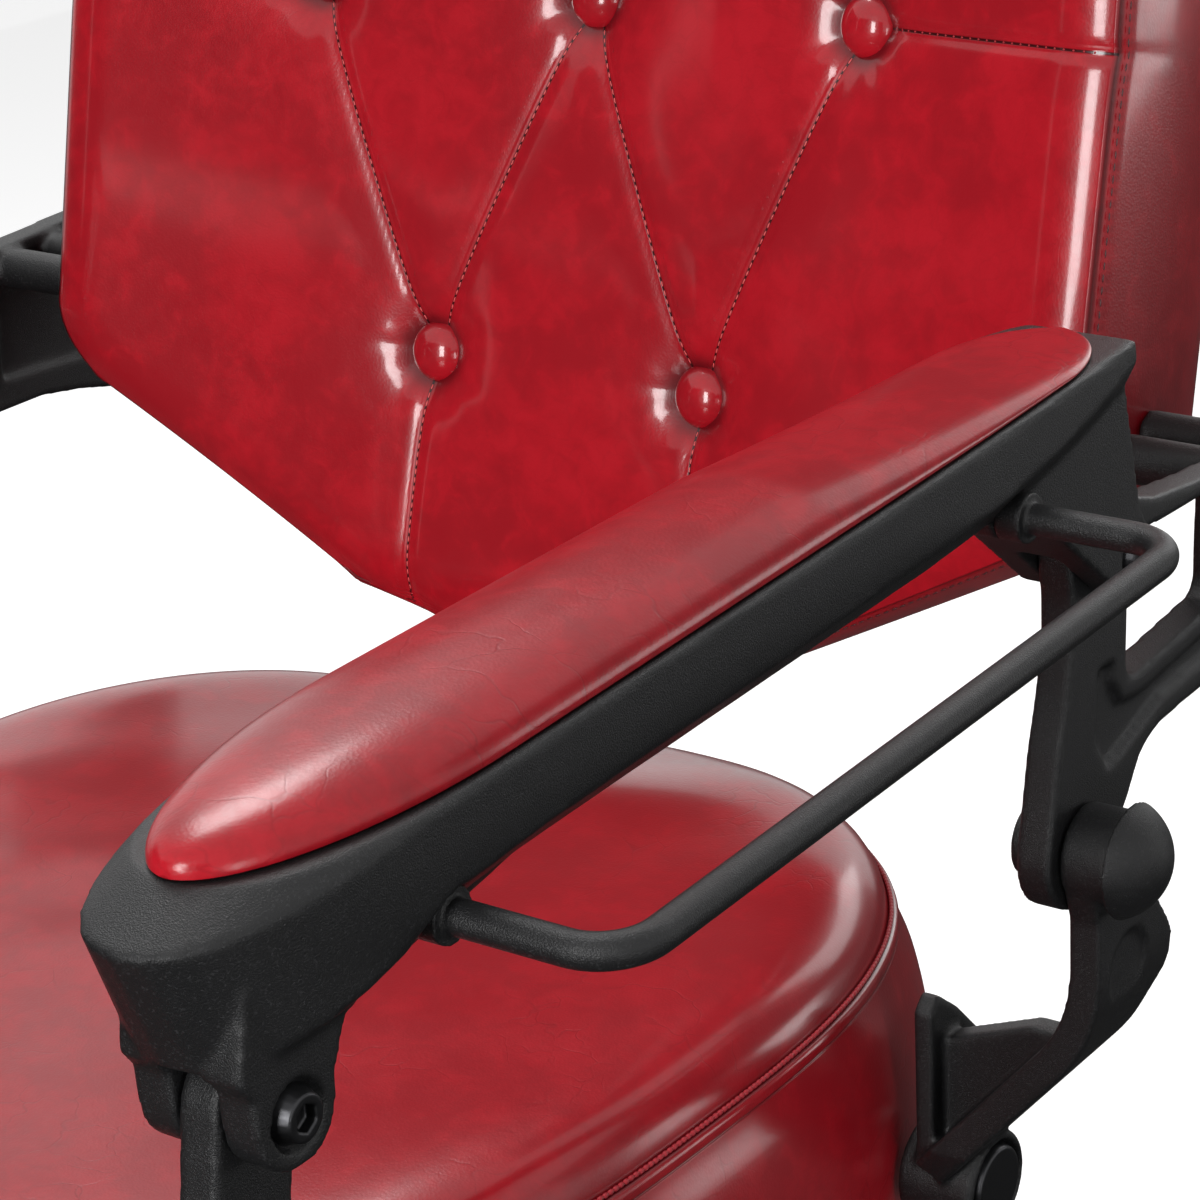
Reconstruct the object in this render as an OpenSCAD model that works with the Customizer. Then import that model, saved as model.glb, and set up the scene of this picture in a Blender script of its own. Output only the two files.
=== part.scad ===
// Hydraulic barber chair with linked armrests, reclining back and legrest
// Origin on the floor under the lift column, +Z up, the sitter faces -Y, the sitter's left is +X

/* [Linkage] */
// Room from the side of the back to the middle plane of the armrests, posts and castings
arm_room = 55; // [50:1:70]
// Recline pivot, behind the column
recline_y = 101; // [95:1:110]
// Recline pivot above the seat's piping
recline_rise = 85; // [78:1:95]
// Armrest rear pin behind the recline pivot
crank_y = 14; // [10:1:18]
// Armrest rear pin above the recline pivot
crank_z = 104; // [98:1:112]
// Armrest front pin ahead of its rear pin, along the armrest
arm_pin_span = 428; // [410:1:440]
// Armrest front pin above its rear pin, square to the armrest
arm_pin_rise = 13.5; // [10:0.5:18]
// Rise of the armrest towards the rear, degrees
arm_rise = 2.2; // [0:0.1:4]
// Thickness of the linkage castings
bar_t = 13; // [10:1:14]
// Side clearance of a linkage casting in its clevis or on its bracket
side_gap = 0.7; // [0.5:0.1:1]
// Radial clearance of the front armrest pin in its post
open_pin_gap = 0.35; // [0.3:0.05:0.6]
// Radial running clearance of the other pins
pin_gap = 0.06; // [0.03:0.01:0.1]

/* [Armrest] */
// Half width of the armrest casting behind its nose
arm_half_w = 35; // [32:0.5:38]
// Half width of the armrest casting at its rear end
arm_rear_w = 25; // [23:0.5:30]
// Underside of the outer band above the rear pin
band_low = 55; // [53:0.5:58]
// Top of the casting above the rear pin
band_top = 77.5; // [76:0.5:82]
// Drop of the sloping top facet at the nose
nose_drop = 10; // [6:0.5:14]
// Nose of the casting ahead of the front pin
nose_reach = 34; // [30:1:40]
// Half width of the keel that carries the clevis ears
keel_half_w = 20; // [18:0.5:22]
// Radius of the front clevis ears
front_ear_r = 14.5; // [13.5:0.5:15.5]
// Radius of the rear clevis ears
rear_ear_r = 15; // [14:0.5:16]
// Rim of the casting left outside the leather pad
pad_rim = 2.7; // [2:0.1:5]
// Height of the pad's crown above the casting
pad_h = 15; // [10:1:22]
// Radius of the armrest pins
arm_pin_r = 5; // [4:0.5:5.5]
// Radius of the towel rod
rod_r = 5; // [4:0.5:6]
// Towel rod outboard of the armrest's middle
rod_out = 80; // [65:1:95]
// Towel rod above the rear pin
rod_z = 45; // [43.5:0.5:46]

/* [Seat] */
// Seat at the piping narrower than the backrest, each side
seat_narrow = 22; // [18:1:35]
// Half depth of the seat at the piping
seat_half_d = 255; // [235:1:257]
// Squareness of the seat plan, 2 is an ellipse
seat_square = 2.7; // [2.3:0.1:3.2]
// Height of the piping above the floor
piping_h = 507; // [500:1:508]
// Swell of the seat side below the piping
seat_swell = 13; // [6:1:14]
// Rise of the seat crown above the piping
seat_crown = 27; // [18:1:29]
// Underside of the upholstery above the floor
seat_low = 384; // [378:1:400]
// Thickness of the seat board
seat_board_t = 12; // [9:1:18]
// Thickness of the steel seat plate
seat_plate_t = 8; // [6:1:10]

/* [Back] */
// Half width of the backrest
back_half_w = 250; // [240:1:251]
// Lean of the backrest at rest, degrees
back_tilt = 12; // [11:0.5:14]
// Middle button behind the recline pivot
back_reach = 163; // [160:1:175]
// Middle button above the recline pivot
back_rise = 232; // [228:1:245]
// Lower edge of the backrest below the middle button
back_drop = 262; // [255:1:263]
// Upper edge of the backrest above the middle button
back_top = 262; // [250:1:280]
// Distance that the sides wrap forward of the middle
back_wrap = 34; // [20:1:36]
// Thickness of the backrest upholstery at the middle
back_pad_t = 77; // [68:1:80]
// Thickness of the back board
back_board_t = 12; // [9:1:15]
// Thickness of the upholstered rear panel
back_panel_t = 15; // [12:1:20]
// Distance between buttons in a row
button_pitch = 132; // [120:2:140]
// Distance between the rows of buttons
button_row = 151; // [145:1:155]
// Radius of a covered button
button_r = 13; // [11:0.5:15]
// Depth of a button pit
pit_depth = 13; // [9:1:14]

/* [Headrest] */
// Half width of the headrest
head_half_w = 130; // [110:1:150]
// Height of the headrest cushion
head_h = 120; // [100:1:140]
// Thickness of the headrest cushion
head_t = 66; // [50:1:72]
// Width of the headrest bar
head_bar_w = 40; // [30:1:50]
// Thickness of the headrest bar
head_bar_t = 8; // [6:1:10]
// Travel of the headrest bar
head_travel = 100; // [60:5:110]

/* [Legrest] */
// Width of the front posts
post_w = 29; // [26:1:30]
// Length of the posts below their pivot
post_drop = 420; // [400:5:425]
// Half width of the calf pad
calf_half_w = 190; // [150:5:220]
// Height of the calf pad
calf_h = 160; // [130:5:165]
// Thickness of the calf pad
calf_t = 38; // [28:1:42]
// Half width of the foot plate
foot_half_w = 200; // [150:5:240]
// Depth of the foot plate
foot_d = 165; // [140:5:180]
// Radius of the legrest cross tubes
tube_r = 11; // [9:0.5:12]

/* [Base] */
// Radius of the base disc
base_r = 310; // [290:5:330]
// Height of the base rim
base_rim = 18; // [14:1:24]
// Height of the base crown
base_crown = 46; // [40:1:50]
// Radius of the lift ram
ram_r = 30; // [26:1:32]
// Radius of the pump housing
housing_r = 50; // [46:1:54]
// Travel of the lift
lift_travel = 160; // [120:5:165]
// Length of the pump pedal from its pin to its pad
pedal_l = 250; // [230:5:270]

/* [Hidden] */
$fn = 48;

gap = 0.3;
e = 0.01;
arm_x = back_half_w + arm_room;
recline_h = piping_h + recline_rise;
back_y = recline_y + back_reach;
back_h = recline_h + back_rise;
bar_lo = arm_x - bar_t / 2;
bar_hi = arm_x + bar_t / 2;
arm_pin = [recline_y + crank_y, recline_h + crank_z];
rise_c = cos(arm_rise);
rise_s = sin(arm_rise);
span_y = -arm_pin_span * rise_c - arm_pin_rise * rise_s;
span_z = -arm_pin_span * rise_s + arm_pin_rise * rise_c;
leg_y = recline_y + span_y;
leg_h = recline_h + span_z;
crank_l = sqrt(crank_y * crank_y + crank_z * crank_z);
crank_lean = atan2(crank_y, crank_z);

// Brackets
plate_t = 12;
plate_lo = bar_hi + side_gap;
plate_hi = plate_lo + plate_t;
hub_r = 17;
hub_hi = plate_lo + 18;
neck_r = 60;
neck_turn = 41;
neck_top = recline_h - 42;
neck_front = recline_y - 10;
neck_depth = 54;
seat_half_w = back_half_w - seat_narrow;
boss_h = seat_low + 0.6 * (piping_h - seat_low);
boss_r = 10;
lug_hi = plate_hi - 36;
lug_lo = lug_hi - plate_t;
boss_swell = 0.93 * seat_swell;
side_face = seat_half_w + seat_swell + gap;
// Seat side at the bosses' height, at distance y fore or aft of the column
function seat_side(y) =
  (seat_half_w + boss_swell) * pow(1 - pow(abs(y) / (seat_half_d + boss_swell), seat_square), 1 / seat_square);
// Hub where a rear bracket meets the seat side
rear_hub = [123, 438];
rear_hub_r = 20;
rear_hub_x = side_face + 24;
rear_cap_r = 15.5;
front_boss_y = -110;
recline_pin_r = 8;
legrest_pin_r = 7;
cap_r = 20.5;
cap_h = 14;
casting_boss_r = 21.5;
eye_r = 20;
bolt_head_r = 8.3;
bolt_head_h = 5.5;
socket_r = 4;

// Column
ram_low = 75;
ram_high = 345;
housing_top = 276;
collar_t = 9;
ring_h = 296;
ring_t = 8;
head_r = 48;
seat_plate_top = seat_low - seat_board_t;
seat_plate_low = seat_plate_top - seat_plate_t;
head_plate_t = 14;
head_plate_half = 110;
plate_half_w = 170;
plate_half_d = 190;
rail_x = 150;
rail_half_w = 8;
rail_h = 26;
pedal_y = 92;
pedal_h = 92;
pedal_pin_r = 6;
pedal_slope = 6;

// Legrest, measured down the post from its pivot
tube_up = 150;
calf_top = 88;
foot_drop = post_drop - 22;
calf_board_t = 10;
foot_tip = 4;
foot_t = 6;
tread_t = 5;
hinge_lug_w = 14;

// Lock and lever
lever_y = 34;
lever_h = 350;
lever_l = 92;
lever_up = 22;
lever_shaft_r = 6;
lever_x = -side_face - 14;

// Headrest
socket_t = 26;
socket_w = head_bar_w + 24;
socket_h = 110;
panel_face = back_pad_t + back_board_t + back_panel_t;
bar_y = panel_face + socket_t / 2;
bar_top = back_top + 74;
bar_low = back_top - 190;
head_lug = 11;
head_pin_r = 4;
head_axis_y = bar_y - head_bar_t / 2 - 12;
head_mid = bar_top + 14;
head_front = head_axis_y - 18 - head_t;

function arc(cy, cz, r, a0, a1, n = 12) =
  [for (i = [0:n]) [cy + r * cos(a0 + (a1 - a0) * i / n), cz + r * sin(a0 + (a1 - a0) * i / n)]];

// Superellipse point at angle t
function super_pt(rx, ry, n, t) =
  [rx * sign(cos(t)) * pow(abs(cos(t)), 2 / n), ry * sign(sin(t)) * pow(abs(sin(t)), 2 / n)];

// Half width of the back outline at height v from the middle button
diag_top = -0.7 * back_drop;
function back_side(v) =
  let (low = -back_drop, top = back_top)
  v > top - 42 ? back_half_w - 42 + sqrt(max(0, 42 * 42 - pow(v - top + 42, 2))) :
  v > diag_top + 34 ? back_half_w :
  v > diag_top ? back_half_w - 21 * pow((diag_top + 34 - v) / 34, 2) :
  let (f = (v - low) / (diag_top - low))
  (back_half_w - 21) * (0.22 + 0.78 * (f < 0.12 ? 2.2 * f : 0.264 + 0.736 * (f - 0.12) / 0.88));

function back_wrap_at(x) = back_wrap * pow(x / back_half_w, 2);

// Distance of p from the segment a to b
function seg_dist(p, a, b) =
  let (d = b - a, s = max(0, min(1, ((p - a) * d) / (d * d)))) norm(p - a - s * d);
function dent(d, w) = exp(-pow(d / w, 2));

half_pitch = button_pitch / 2;
buttons = [
  [-button_pitch, 0], [0, 0], [button_pitch, 0],
  [-half_pitch, -button_row], [half_pitch, -button_row],
  [-half_pitch, button_row], [half_pitch, button_row]
];
// Sewn pleats run between neighbouring buttons and out to the edges
pleats = concat(
  [for (s = [-1, 1], r = [-1, 1]) each [
    [[s * button_pitch, 0], [s * half_pitch, r * button_row]],
    [[0, 0], [s * half_pitch, r * button_row]]
  ]],
  [for (s = [-1, 1]) [[s * button_pitch, 0], [s * back_half_w, 0]]],
  [for (s = [-1, 1]) [[s * half_pitch, -button_row], [s * half_pitch, -back_drop]]],
  [for (s = [-1, 1]) [[s * half_pitch, button_row], [s * half_pitch, back_top]]]
);
pleat_depth = 5;
function tuft(p) =
  max([for (b = buttons) pit_depth * dent(norm(p - b), 30)])
  + pleat_depth * max([for (q = pleats) dent(seg_dist(p, q[0], q[1]), 13)]);

// Closed skin through equal rings of points, first and last ring capped on their centres
module ring_loft(rings, low_mid, top_mid) {
  n = len(rings[0]);
  m = len(rings);
  pts = concat([for (r = rings) each r], [low_mid, top_mid]);
  polyhedron(pts, concat(
    [for (k = [0:m - 2], i = [0:n - 1]) each let (j = (i + 1) % n)
      [[k * n + i, (k + 1) * n + i, k * n + j], [k * n + j, (k + 1) * n + i, (k + 1) * n + j]]],
    [for (i = [0:n - 1]) [i, (i + 1) % n, n * m]],
    [for (i = [0:n - 1]) [(m - 1) * n + (i + 1) % n, (m - 1) * n + i, n * m + 1]]
  ));
}

module cyl_x(r, x0, x1, y, z) {
  translate([x0, y, z]) rotate([0, 90, 0]) cylinder(r = r, h = x1 - x0);
}
// Outline in (y, z) made a plate between x0 and x1
module plate_x(x0, x1) {
  translate([x0, 0, 0]) rotate([90, 0, 90]) linear_extrude(x1 - x0) children();
}
// Outline in (x, z) made a plate between y0 and y1
module plate_y(y0, y1) {
  translate([0, y1, 0]) rotate([90, 0, 0]) linear_extrude(y1 - y0) children();
}
module tapered_link(p, pr, q, qr) {
  d = norm(q - p);
  a = atan2(q[1] - p[1], q[0] - p[0]);
  b = acos((pr - qr) / d);
  translate(p) circle(pr);
  translate(q) circle(qr);
  polygon([
    p + pr * [cos(a + b), sin(a + b)], p + pr * [cos(a - b), sin(a - b)],
    q + qr * [cos(a - b), sin(a - b)], q + qr * [cos(a + b), sin(a + b)]
  ]);
}
module on_side(side) {
  mirror([side < 0 ? 1 : 0, 0, 0]) children();
}
module in_arm() {
  translate([arm_x, arm_pin[0], arm_pin[1]]) rotate([arm_rise, 0, 0]) children();
}
module in_back() {
  translate([0, back_y, back_h]) rotate([-back_tilt, 0, 0]) children();
}
// Along the front post: origin at its pivot, -Z down the post, -Y to its front
module in_post() {
  translate([0, leg_y, leg_h]) rotate([-crank_lean, 0, 0]) children();
}
module pin_cap(x0, y, z) {
  translate([x0, y, z]) rotate([0, 90, 0]) rotate_extrude() intersection() {
    translate([0, -(cap_r * cap_r - cap_h * cap_h) / (2 * cap_h)])
      circle((cap_r * cap_r + cap_h * cap_h) / (2 * cap_h), $fn = 96);
    square([cap_r, cap_h]);
  }
}

// ---- Base, pump and lift ----

module base_disc() {
  color("#1b1b1c") rotate_extrude($fn = 96) polygon(concat(
    [[housing_r + 8, base_crown - 10], [housing_r + 8, base_crown]],
    [for (i = [0:8]) let (f = i / 8)
      [housing_r + 50 + (base_r - housing_r - 54) * f,
       base_rim + (base_crown - base_rim) * (0.5 + 0.5 * cos(180 * f))]],
    [[base_r, base_rim - 5], [base_r, 5], [base_r - 22, 5], [base_r - 22, base_rim - 9],
     [housing_r + 60, base_crown - 14], [housing_r + 60, 0], [0, 0],
     [0, 14], [housing_r + 48, 14], [housing_r + 48, base_crown - 10]]
  ));
}

module base_ring() {
  color("#111111") rotate_extrude($fn = 96) translate([base_r - 20, 0]) square([18, 5]);
}

module pump_housing() {
  color("#2a2a2c") difference() {
    union() {
      translate([0, 0, 14]) cylinder(r = housing_r, h = housing_top - 14);
      translate([0, 0, 14]) cylinder(r = housing_r + 7, h = 8);
    }
    translate([0, 0, 60]) cylinder(r = ram_r + pin_gap, h = housing_top);
  }
}

module pump_cover() {
  cover_r = housing_r + 14;
  color("#1b1b1c") difference() {
    rotate_extrude($fn = 96) polygon(concat(
      [[cover_r + 34, base_crown + gap]],
      [for (i = [0:6]) [cover_r + 34 - 34 * sin(15 * i), base_crown + 46 - 34 * cos(15 * i)]],
      [[cover_r, housing_top - 4], [cover_r - 4, housing_top], [housing_r + gap, housing_top],
       [housing_r + gap, housing_top - 6], [cover_r - 3, housing_top - 6], [cover_r - 3, base_crown + 46]],
      [for (i = [5:-1:0]) [cover_r + 31 - 34 * sin(15 * i), base_crown + 46 - 34 * cos(15 * i)]],
      [[cover_r + 31, base_crown + gap]]
    ));
    translate([-19, housing_r + 2, base_crown - 1]) cube([38, 80, 78]);
  }
}

module pump_collar() {
  color("#c9cacc") translate([0, 0, housing_top]) rotate_extrude($fn = 96) polygon([
    [ram_r + 6, 0], [housing_r + 8, 0], [housing_r + 8, collar_t - 3], [housing_r + 5, collar_t],
    [ram_r + 6, collar_t]
  ]);
}

module ram_seal() {
  color("#141414") translate([0, 0, housing_top]) rotate_extrude() polygon([
    [ram_r + pin_gap, 0], [ram_r + 6, 0], [ram_r + 6, collar_t], [ram_r + 3, collar_t + 3],
    [ram_r + pin_gap, collar_t + 3]
  ]);
}

module pedal_clevis() {
  color("#2a2a2c") for (s = [-1, 1]) difference() {
    translate([s * 11 - 3, 0, 0]) plate_x(0, 6) union() {
      translate([pedal_y, pedal_h]) circle(12);
      translate([housing_r - 1.5, pedal_h - 12]) square([pedal_y - housing_r + 1.5, 24]);
      translate([housing_r - 1.5, base_crown + 4]) square([12, 60]);
    }
    cyl_x(pedal_pin_r, -40, 40, pedal_y, pedal_h);
    cylinder(r = housing_r, h = 300);
  }
}

module pedal_pin() {
  color("#8f9092") {
    cyl_x(pedal_pin_r, -17, 17, pedal_y, pedal_h);
    cyl_x(pedal_pin_r + 3, 14, 18, pedal_y, pedal_h);
    cyl_x(pedal_pin_r + 3, -18, -14, pedal_y, pedal_h);
  }
}

module in_pedal() {
  translate([0, pedal_y, pedal_h]) rotate([pedal_slope, 0, 0]) children();
}

module pedal_arm() {
  plate_start = pedal_l - 66;
  color("#1b1b1c") in_pedal() difference() {
    union() {
      plate_x(-7, 7) union() {
        circle(12);
        polygon([[-25, -5], [0, -9], [plate_start - 4, -5], [plate_start + 8, -5],
                 [plate_start + 8, 3], [0, 9], [-25, 5]]);
      }
      translate([-30, plate_start, -7]) cube([60, 111, 7]);
    }
    cyl_x(pedal_pin_r + pin_gap, -10, 10, 0, 0);
  }
}

module pedal_pad() {
  color("#111111") in_pedal() {
    translate([-34, pedal_l - 47, 0]) cube([68, 94, 8]);
    for (i = [0:6]) translate([-34, pedal_l - 45 + 14 * i, 8]) cube([68, 6, 3]);
  }
}

module lift_ram() {
  color("#d5d6d8") {
    translate([0, 0, ram_low]) cylinder(r = ram_r, h = ram_high - ram_low - 2);
    translate([0, 0, ram_high - 2]) cylinder(r1 = ram_r, r2 = ram_r - 2, h = 2);
  }
}

module thrust_ring() {
  color("#8f9092") translate([0, 0, ring_h]) difference() {
    cylinder(r = head_r - 4, h = ring_t);
    translate([0, 0, -1]) cylinder(r = ram_r, h = ring_t + 2);
  }
}

module swivel_head() {
  color("#2a2a2c") difference() {
    union() {
      translate([0, 0, ring_h + ring_t + gap]) cylinder(r = head_r, h = seat_plate_low - ring_h - ring_t - gap);
      translate([-head_plate_half, -head_plate_half, seat_plate_low - head_plate_t])
        cube([2 * head_plate_half, 2 * head_plate_half, head_plate_t]);
      for (a = [0:90:270]) rotate([0, 0, a]) plate_y(-5, 5)
        polygon([[head_r - 2, ring_h + 14], [head_plate_half - 5, seat_plate_low - head_plate_t + 1],
                 [head_r - 2, seat_plate_low - head_plate_t + 1]]);
    }
    translate([0, 0, ring_h - 20]) cylinder(r = ram_r + pin_gap, h = ram_high + 1 - ring_h + 20);
  }
}

module head_bolts() {
  inset = head_plate_half - 20;
  color("#8f9092") for (x = [-inset, inset], y = [-inset, inset])
    translate([x, y, seat_plate_low - head_plate_t - 6]) cylinder(r = 8, h = 6, $fn = 6);
}

// ---- Seat ----

module seat_plate() {
  color("#2a2a2c") difference() {
    union() {
      translate([-plate_half_w, -plate_half_d, seat_plate_low])
        cube([2 * plate_half_w, 2 * plate_half_d, seat_plate_t]);
      for (s = [-1, 1]) translate([s * rail_x - rail_half_w, -plate_half_d, seat_plate_low - rail_h])
        cube([2 * rail_half_w, 2 * plate_half_d, rail_h]);
    }
    for (s = [-1, 1])
      cyl_x(lever_shaft_r + pin_gap, s * rail_x - 20, s * rail_x + 20, lever_y, lever_h);
  }
}

module seat_board() {
  color("#b08d5e") translate([0, 0, seat_plate_top]) linear_extrude(seat_board_t)
    polygon([for (t = [0:6:354]) super_pt(seat_half_w - 16, seat_half_d - 16, seat_square, t)]);
}

seat_rings = 48;
function seat_ring(grow, z) =
  [for (i = [0:seat_rings - 1])
    let (p = super_pt(seat_half_w + grow, seat_half_d + grow, seat_square, 360 * i / seat_rings))
    [p[0], p[1], z]];
side_h = piping_h - seat_low;
// Side swells below the piping, the top panel rises from it in a low crown
seat_levels = [
  [-14, seat_low], [-3, seat_low + 5], [0.5 * seat_swell, seat_low + 0.16 * side_h],
  [0.92 * seat_swell, seat_low + 0.32 * side_h], [seat_swell, seat_low + 0.5 * side_h],
  [0.8 * seat_swell, seat_low + 0.7 * side_h], [0.4 * seat_swell, seat_low + 0.87 * side_h],
  [0, piping_h - 4], [-2, piping_h], [-0.5, piping_h + 3],
  [-3, piping_h + 0.27 * seat_crown], [-12, piping_h + 0.48 * seat_crown],
  [-28, piping_h + 0.66 * seat_crown], [-55, piping_h + 0.8 * seat_crown],
  [-100, piping_h + 0.92 * seat_crown], [-160, piping_h + 0.985 * seat_crown]
];

module seat_cushion() {
  color("#a01823") ring_loft([for (l = seat_levels) seat_ring(l[0], l[1])],
    [0, 0, seat_low], [0, 0, piping_h + seat_crown]);
}

// End of the bent strip at a distance x from the middle of the chair
function neck_tip(x) =
  let (mid = plate_lo + plate_t / 2 - neck_r,
       run = (neck_r * cos(neck_turn) + mid - x) / sin(neck_turn))
  [mid + neck_r * cos(neck_turn), neck_top - neck_r * sin(neck_turn)] - run * [sin(neck_turn), cos(neck_turn)];

// Bent strip seen from the front: down from the hub, then in towards the seat
module neck_outline(x) {
  mid = plate_lo + plate_t / 2 - neck_r;
  r_out = neck_r + plate_t / 2;
  r_in = neck_r - plate_t / 2;
  polygon(concat(
    [[plate_lo, recline_h], [plate_hi, recline_h]],
    arc(mid, neck_top, r_out, 0, -neck_turn),
    [for (s = [1, -1]) neck_tip(x) + s * plate_t / 2 * [cos(neck_turn), -sin(neck_turn)]],
    arc(mid, neck_top, r_in, -neck_turn, 0)
  ));
}

// Lug, spacer boss and bolt hole that fasten a bracket to the side of the seat
module seat_lug(y) {
  plate_x(lug_lo, lug_hi) union() {
    translate([y, boss_h]) circle(16);
    translate([y - 16, boss_h]) square([32, max(16, neck_tip(lug_lo + 2)[1] + 5 - boss_h)]);
  }
  cyl_x(boss_r, seat_side(abs(y) - boss_r) + gap, lug_lo + e, y, boss_h);
}

module rear_bracket(side) {
  color("#1b1b1c") on_side(side) difference() {
    union() {
      cyl_x(hub_r, plate_lo, hub_hi, recline_y, recline_h);
      intersection() {
        plate_y(neck_front - 6, neck_front + neck_depth) neck_outline(side_face + 8);
        plate_x(side_face, plate_hi + 1) polygon(concat(
          [[recline_y - hub_r, recline_h], [neck_front, neck_top + 20], [neck_front, rear_hub[1] + 26]],
          [[neck_front + 12, rear_hub[1] + 6], [neck_front + 42, rear_hub[1] + 6]],
          [[neck_front + neck_depth - 8, neck_top - 26]],
          arc(neck_front + neck_depth - 22, neck_top - 10, 22, -20, 30, 5),
          [[recline_y + hub_r, recline_h - 6], [recline_y + hub_r, recline_h]]
        ));
      }
      cyl_x(rear_hub_r, seat_side(rear_hub[0] - rear_hub_r) + seat_swell - boss_swell + gap, rear_hub_x - 1.5,
        rear_hub[0], rear_hub[1]);
      translate([rear_hub_x - 1.5 - e, rear_hub[0], rear_hub[1]]) rotate([0, 90, 0])
        cylinder(r1 = rear_hub_r, r2 = rear_hub_r - 1.5, h = 1.5 + e);
      // Web between the strip and the seat side
      plate_y(neck_front + 22, neck_front + 32) polygon([
        [lug_hi + 12, neck_top - 38], [lug_hi - 3, neck_top - 38], [side_face + 11, neck_top - 51],
        [side_face + 3, neck_top - 55], [side_face, neck_top - 62], [side_face, rear_hub[1]],
        [side_face + 12, rear_hub[1]]
      ]);
      // Flange that lies along the seat side
      plate_x(side_face, side_face + 8) polygon([
        [neck_front + 14, rear_hub[1]], [neck_front + 14, neck_top - 40], [neck_front + 20, neck_top - 34],
        [neck_front + 34, neck_top - 45], [neck_front + 50, neck_top - 62], [neck_front + 58, neck_top - 82],
        [rear_hub[0] + rear_hub_r, rear_hub[1]]
      ]);
    }
    cyl_x(recline_pin_r, plate_lo - 1, hub_hi + 1, recline_y, recline_h);
    cyl_x(arm_pin_r, side_face - 20, rear_hub_x, rear_hub[0], rear_hub[1]);
    cyl_x(rear_cap_r + 1, rear_hub_x - 4, rear_hub_x + 1, rear_hub[0], rear_hub[1]);
    translate([plate_hi - 2, recline_y + 12, neck_top - 4]) rotate([0, 90, 0])
      scale([1.5, 1.5, 1]) cylinder(r = 9, h = 10);
  }
}
module rear_bracket_left() { rear_bracket(1); }
module rear_bracket_right() { rear_bracket(-1); }

module front_bracket(side) {
  color("#1b1b1c") on_side(side) difference() {
    union() {
      cyl_x(hub_r, plate_lo, hub_hi, leg_y, leg_h);
      plate_x(plate_lo, plate_hi)
        tapered_link([leg_y, leg_h], hub_r, [front_boss_y, neck_top - 20], 26);
      intersection() {
        plate_y(front_boss_y - 24, front_boss_y + 24) neck_outline(lug_lo + 2);
        translate([side_face, front_boss_y - 30, boss_h - 40]) cube([150, 60, neck_top - 20 - boss_h + 40]);
      }
      seat_lug(front_boss_y);
    }
    cyl_x(legrest_pin_r, plate_lo - 1, hub_hi + 1, leg_y, leg_h);
    cyl_x(arm_pin_r, side_face - 20, lug_hi + 1, front_boss_y, boss_h);
  }
}
module front_bracket_left() { front_bracket(1); }
module front_bracket_right() { front_bracket(-1); }

// Headed pin with a domed cap outside and a collar inside the casting
module recline_pin(side) {
  color("#1b1b1c") on_side(side) {
    cyl_x(recline_pin_r, bar_lo - 1, hub_hi, recline_y, recline_h);
    cyl_x(recline_pin_r + 5, bar_lo - 7, bar_lo - 1, recline_y, recline_h);
    pin_cap(hub_hi, recline_y, recline_h);
  }
}
module recline_pin_left() { recline_pin(1); }
module recline_pin_right() { recline_pin(-1); }

module legrest_pin(side) {
  color("#1b1b1c") on_side(side) {
    cyl_x(legrest_pin_r, bar_lo - 1, hub_hi, leg_y, leg_h);
    cyl_x(legrest_pin_r + 4, bar_lo - 7, bar_lo - 1, leg_y, leg_h);
    pin_cap(hub_hi, leg_y, leg_h);
  }
}
module legrest_pin_left() { legrest_pin(1); }
module legrest_pin_right() { legrest_pin(-1); }

// Button-head bolt along X with its head on the +X side and a hexagon socket
module bolt_x(x0, x1, y, z, r) {
  difference() {
    union() {
      cyl_x(r, x0, x1 + e, y, z);
      translate([x1, y, z]) rotate([0, 90, 0]) cylinder(r1 = bolt_head_r, r2 = bolt_head_r - 2, h = bolt_head_h);
    }
    translate([x1 + 2, y, z]) rotate([0, 90, 0]) cylinder(r = socket_r, h = bolt_head_h, $fn = 6);
  }
}

// Front bolts with socket heads, rear bolts with low domed heads sunk in the hubs
module bracket_bolts() {
  color("#2a2a2c") for (side = [-1, 1]) on_side(side) {
    bolt_x(side_face + 4, lug_hi, front_boss_y, boss_h, arm_pin_r);
    cyl_x(arm_pin_r, side_face - 2, rear_hub_x - 4 + e, rear_hub[0], rear_hub[1]);
    translate([rear_hub_x - 4, rear_hub[0], rear_hub[1]]) rotate([0, 90, 0])
      cylinder(r1 = rear_cap_r, r2 = rear_cap_r - 1.5, h = 5);
  }
}

// Recline lock under the seat plate, with the shaft that the lever turns
module lock_cylinder() {
  color("#3a3a3c") difference() {
    union() {
      translate([0, 118, seat_plate_low - 24]) rotate([-90, 0, 0]) cylinder(r = 19, h = 120);
      translate([-22, 130, seat_plate_low - 24]) cube([44, 96, 24]);
    }
    translate([0, 190, seat_plate_low - 24]) rotate([-90, 0, 0]) cylinder(r = 7, h = 60);
  }
}

lever_end = [lever_y, lever_h] + lever_l * [-cos(lever_up), sin(lever_up)];

module recline_lever() {
  color("#1b1b1c") {
    cyl_x(lever_shaft_r, lever_x - 3, -rail_x + 35, lever_y, lever_h);
    translate([lever_x - 5, 0, 0]) plate_x(0, 8) tapered_link([lever_y, lever_h], 13, lever_end, 7);
  }
}

module lever_knob() {
  color("#111111") {
    cyl_x(4, lever_x - 12, lever_x - 5, lever_end[0], lever_end[1]);
    translate([lever_x - 24, lever_end[0], lever_end[1]]) rotate([0, 90, 0]) rotate_extrude() intersection() {
      translate([0, 8]) circle(12);
      square([12, 17]);
    }
  }
}

// ---- Back ----

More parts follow.
